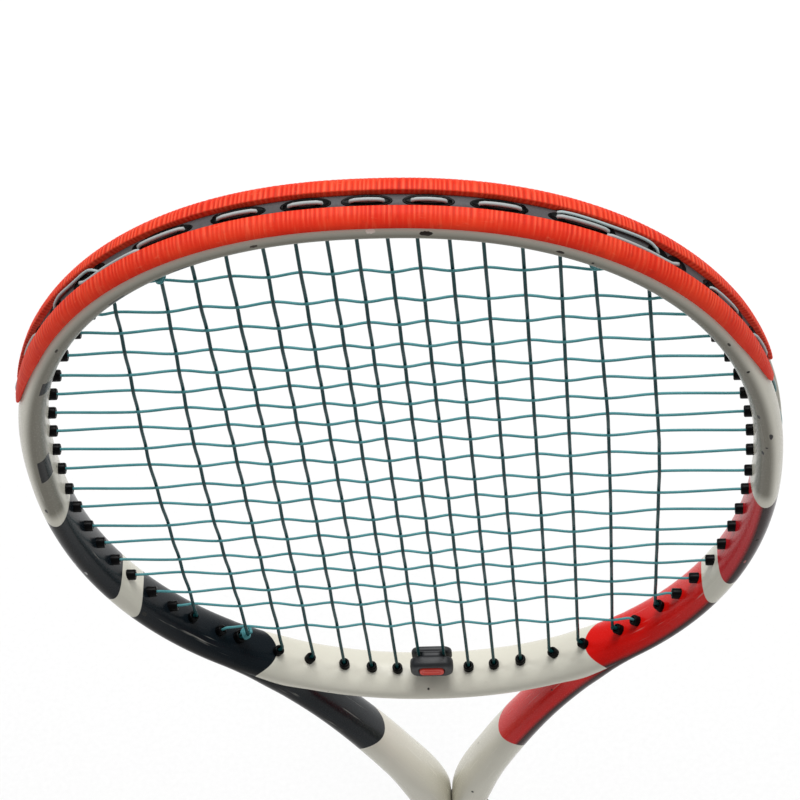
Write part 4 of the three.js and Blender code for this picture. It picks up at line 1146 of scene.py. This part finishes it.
# ---------------------------------------------------------------- handle
def octagon_ring(half_x, half_y, chamfer, z, rounding=2.2, count=96):
    """An eight-sided outline with rounded corners, as evenly spaced points."""
    ix, iy = half_x - chamfer, half_y - chamfer
    corners = np.array([(half_x, -iy), (half_x, iy), (ix, half_y), (-ix, half_y),
                        (-half_x, iy), (-half_x, -iy), (-ix, -half_y), (ix, -half_y)])
    points = []
    for before, corner, after in zip(np.roll(corners, 1, axis=0), corners, np.roll(corners, -1, axis=0)):
        start, end = (corner + unit(other - corner) * rounding for other in (before, after))
        points += [(1 - t) ** 2 * start + 2 * t * (1 - t) * corner + t * t * end
                   for t in np.linspace(0, 1, 6)]
    points = np.array([*points, points[0]])
    length = np.concatenate([[0], np.cumsum(np.hypot(*np.diff(points, axis=0).T))])
    even = np.linspace(0, length[-1], count, endpoint=False)
    x, y = (np.interp(even, length, column) for column in points.T)
    return np.column_stack([x, y, np.full(count, float(z))])


def handle_ring(z, extra, rounding=2.2):
    chamfer = HANDLE_CHAMFER + extra * CHAMFER_GROWTH
    return octagon_ring(HANDLE_X + extra, HANDLE_Y + extra, chamfer, z, rounding)


WRAP_PITCH = 23.0


def grip_rings():
    """The leather strip's turns: each lies over the edge of the one below it."""
    rings, places, seams = [], [], []
    thick = GAP + GRIP_THICK
    for z in spaced(GRIP_BOTTOM, GRIP_TOP, 0.5):
        ring = handle_ring(z, thick, 3.2)
        share = np.arange(len(ring)) / len(ring)
        phase = ((z - GRIP_BOTTOM) / WRAP_PITCH - share) % 1
        seam = np.exp(-((np.minimum(phase, 1 - phase) * WRAP_PITCH) / 0.8) ** 2)
        lift = 0.3 * smooth(0, 0.3, phase) - 0.55 * seam - 0.35 * (1 - smooth(0, 1.5, min(z - GRIP_BOTTOM,
                                                                                   GRIP_TOP - z)))
        outward = ring[:, :2] / np.linalg.norm(ring[:, :2], axis=1)[:, None]
        ring[:, :2] += outward * lift[:, None]
        rings.append(ring)
        places.append(np.column_stack([share * 104 + z * 0.2, z - share * WRAP_PITCH, ring[:, 1]]))
        seams.append(seam)
    inner = [handle_ring(z, GAP, 3.2) for z in (GRIP_TOP, GRIP_BOTTOM)]
    rings += inner
    places += [np.zeros((len(ring), 3)) for ring in inner]
    seams += [np.zeros(len(ring)) for ring in inner]
    return rings, np.vstack(places), np.concatenate(seams)


wrap_rings, wrap_places, wrap_seams = grip_rings()
wrap = Build()
wrap.add(wrap_rings, loop=True, track=wrap_places, seam=wrap_seams)
wrap.object("grip_wrap_leather", "grip_wrap", grip_leather())


def stack(name, node, material, rings, loop=False, body="racket"):
    build = Build()
    build.add(rings, loop=loop)
    build.object(name, node, material, body)


tape_in, tape_out = 2 * GAP + GRIP_THICK, 2 * GAP + GRIP_THICK + TAPE_THICK
tape_levels = [(TAPE_BOTTOM, tape_in), (TAPE_BOTTOM, tape_out - 0.4), (TAPE_BOTTOM + 0.3, tape_out)]
tape_levels += [(z, tape_out - 0.12 * (i % 2)) for i, z in enumerate(np.linspace(181.2, 190.8, 9))]
tape_levels += [(TAPE_TOP - 0.3, tape_out), (TAPE_TOP, tape_out - 0.4), (TAPE_TOP, tape_in)]
stack("grip_tape_band", "grip_tape",
      rubber("tape_vinyl", rgb(30, 32, 35), rgb(46, 48, 52), 0.8, 0.03, 0.32),
      [handle_ring(z, extra, 3.4) for z, extra in tape_levels], loop=True)

collar_levels = [(COLLAR_BOTTOM, 1.0), (COLLAR_BOTTOM, 2.0), (COLLAR_BOTTOM + 0.5, COLLAR_THICK)]
collar_levels += [(COLLAR_SHOULDER - 0.5, COLLAR_THICK), (COLLAR_SHOULDER + 0.4, COLLAR_THICK - 0.5)]
for ridge in range(4):
    low = COLLAR_SHOULDER + 1.2 + 1.9 * ridge
    slope = 1.7 - 0.48 * ridge
    collar_levels += [(low, slope - 0.3), (low + 0.35, slope + 0.1), (low + 1.1, slope),
                      (low + 1.5, slope - 0.45)]
collar_levels += [(COLLAR_TOP - 0.5, 0.0), (COLLAR_TOP, -0.5)]
stack("grip_collar_rubber", "grip_collar",
      rubber("collar_rubber", rgb(17, 18, 20), rgb(33, 34, 36), 1.0, 0.06, 0.6),
      [handle_ring(z, extra, 3.4) for z, extra in collar_levels])

# Each level: height, half width, half depth, chamfer, rounding.
cap_levels = [
    (BADGE_DEPTH + GAP, BADGE_X + GAP, BADGE_Y + GAP, BADGE_CHAMFER, 1.0),
    (0.4, BADGE_X + GAP, BADGE_Y + GAP, BADGE_CHAMFER, 1.0),
    (0, BADGE_X + 0.8, BADGE_Y + 0.8, BADGE_CHAMFER, 1.2), (0, 18.6, 16.2, 7.2, 2.4),
    (0.25, 19.3, 16.9, 7.5, 2.6), (0.8, 19.95, 17.55, 7.7, 2.8), (1.8, 20.2, 17.8, 7.8, 3),
    (6.0, 20.2, 17.8, 7.8, 3), (8.0, 20.0, 17.6, 7.7, 3), (11, 19.3, 17.1, 7.5, 3),
    (14, 18.6, 16.5, 7.3, 3), (18, 18.0, 15.95, 7.1, 3), (22, 17.7, 15.7, 7, 3),
    (CAP_TOP - 0.5, 17.6, 15.6, 7, 3), (CAP_TOP, 17.2, 15.2, 6.9, 2.6), (CAP_TOP, 16.2, 14.2, 6.3, 2.2),
    (6, 16.2, 14.2, 6.3, 2.2),
]
stack("butt_cap_shell", "butt_cap",
      rubber("cap_plastic", rgb(24, 25, 27), rgb(38, 39, 41), 1.4, 0.05, 0.42),
      [octagon_ring(hx, hy, chamfer, z, rounding) for z, hx, hy, chamfer, rounding in cap_levels])
badge_levels = [(0.25, 0.9), (0.25, 1.6), (0.55, 2.0), (0.55, 3.4), (0.25, 3.8), (0.2, 7.5)]
badge_rings = [octagon_ring(BADGE_X - inset, BADGE_Y - inset, max(1.2, BADGE_CHAMFER - 0.35 * inset), z, 0.9)
               for z, inset in [*badge_levels[::-1], (0.05, 0.35), (0.3, 0.0), (BADGE_DEPTH, 0.0)]]
stack("butt_badge_plate", "butt_badge",
      rubber("badge_plastic", rgb(196, 196, 192), rgb(222, 222, 218), 0.9, 0.02, 0.3, Coat_Weight=0.4),
      badge_rings)


# ---------------------------------------------------------------- dampener
def plate_ring(width, height, corner, y, steps=8):
    """A rounded rectangle seen from the front, as a closed ring of points."""
    w, h = width / 2 - corner, height / 2 - corner
    points = []
    for i, (cx, cz) in enumerate(((w, h), (-w, h), (-w, -h), (w, -h))):
        for angle in np.radians(np.linspace(0, 90, steps) + 90 * i):
            points.append((cx + corner * math.cos(angle), y, DAMPENER_Z + cz + corner * math.sin(angle)))
    return np.array(points)


# Each level: width, height, corner radius, depth.
dampener_rings = [plate_ring(*level) for level in (
    (10.2, 5.8, 2.1, -4.3), (10.2, 5.8, 2.1, -5.5), (10.7, 6.3, 2.3, -5.8), (14.6, 7.9, 2.9, -5.76),
    (15.9, 8.9, 3.2, -5.5), (16.7, 9.7, 3.4, -4.9), (17, 10, 3.5, -4.2), (17, 10, 3.5, -2.0),
    (16.7, 9.7, 3.4, -1.4), (16, 9, 3.2, -1.12), (9.4, 8.6, 2.0, -1.1), (8.5, 8.2, 1.7, -0.8),
    (8.2, 8, 1.6, 0), (8.5, 8.2, 1.7, 0.8), (9.4, 8.6, 2.0, 1.1), (15, 8, 2.9, 1.12), (15.7, 8.7, 3.1, 1.4),
    (16, 9, 3.2, 1.9), (16, 9, 3.2, 2.7), (15.6, 8.6, 3.1, 3.2), (14.8, 7.8, 2.9, 3.5),
    (12.6, 5.8, 2.2, 3.6),
)]
stack("dampener_rubber", "dampener_body",
      rubber("dampener_silicone", rgb(17, 19, 22), rgb(30, 33, 37), 0.9, 0.04, 0.5),
      dampener_rings, body="dampener")
insert_rings = [plate_ring(*level) for level in (
    (9.6, 5.2, 1.8, -4.6), (9.6, 5.2, 1.8, -5.85), (9.3, 4.9, 1.7, -6.1), (8.7, 4.3, 1.5, -6.2),
    (7.6, 3.2, 1.1, -6.2), (7.2, 2.8, 1.0, -5.95), (6.4, 2.1, 0.8, -5.95), (6.0, 1.7, 0.7, -6.12),
    (4.4, 0.9, 0.4, -6.18),
)]
stack("dampener_button", "dampener_insert",
      rubber("insert_silicone", rgb(206, 44, 26), rgb(226, 62, 40), 0.8, 0.03, 0.42),
      insert_rings, body="dampener")

# ---------------------------------------------------------------- foam of the handle, its CAD mesh kept
foam = handle_foam()
for node in ("pallet_front", "pallet_back"):
    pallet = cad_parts[node]
    pallet.data.materials.clear()
    pallet.data.materials.append(foam)


# ---------------------------------------------------------------- floor and light
def floor_material():
    shade = Shade("floor_paper")
    fleck = shade.noise(2.5, 3)
    shade.colour(shade.mix(fleck, rgb(238, 238, 238), rgb(246, 246, 246)))
    shade.roughness(fleck * 0.1 + 0.85)
    return shade.material


FLOOR_HALF = 6.0
floor_mesh = bpy.data.meshes.new("floor")
corners = [(-FLOOR_HALF, -FLOOR_HALF, 0), (FLOOR_HALF, -FLOOR_HALF, 0), (FLOOR_HALF, FLOOR_HALF, 0),
           (-FLOOR_HALF, FLOOR_HALF, 0)]
floor_mesh.from_pydata(corners, [], [(0, 1, 2, 3)])
floor_mesh.materials.append(floor_material())
floor = bpy.data.objects.new("floor", floor_mesh)
bpy.context.scene.collection.objects.link(floor)


def area_light(name, place, target, size, watts):
    data = bpy.data.lights.new(name, "AREA")
    data.shape = "SQUARE"
    data.size = size
    data.energy = watts
    light = bpy.data.objects.new(name, data)
    light.location = place
    light.rotation_mode = "QUATERNION"
    light.rotation_quaternion = (Vector(place) - Vector(target)).to_track_quat("Z", "Y")
    bpy.context.scene.collection.objects.link(light)


HEAD_MIDDLE = (0, 0, 0.5)
area_light("top_back", (0.2, 1.3, 3.0), (0, 0.2, 0.3), 1.3, 62)
area_light("top_left", (-1.5, 0.4, 2.1), HEAD_MIDDLE, 0.8, 13)
area_light("top_right", (1.6, 0.5, 2.2), HEAD_MIDDLE, 0.8, 11)
area_light("front_low", (0.9, -2.6, 1.3), HEAD_MIDDLE, 1.6, 7)

world = bpy.data.worlds.new("studio")
world.use_nodes = True
world.node_tree.nodes["Background"].inputs["Color"].default_value = (1, 1, 1, 1)
world.node_tree.nodes["Background"].inputs["Strength"].default_value = 0.3
bpy.context.scene.world = world
bpy.context.scene.view_settings.view_transform = "Standard"
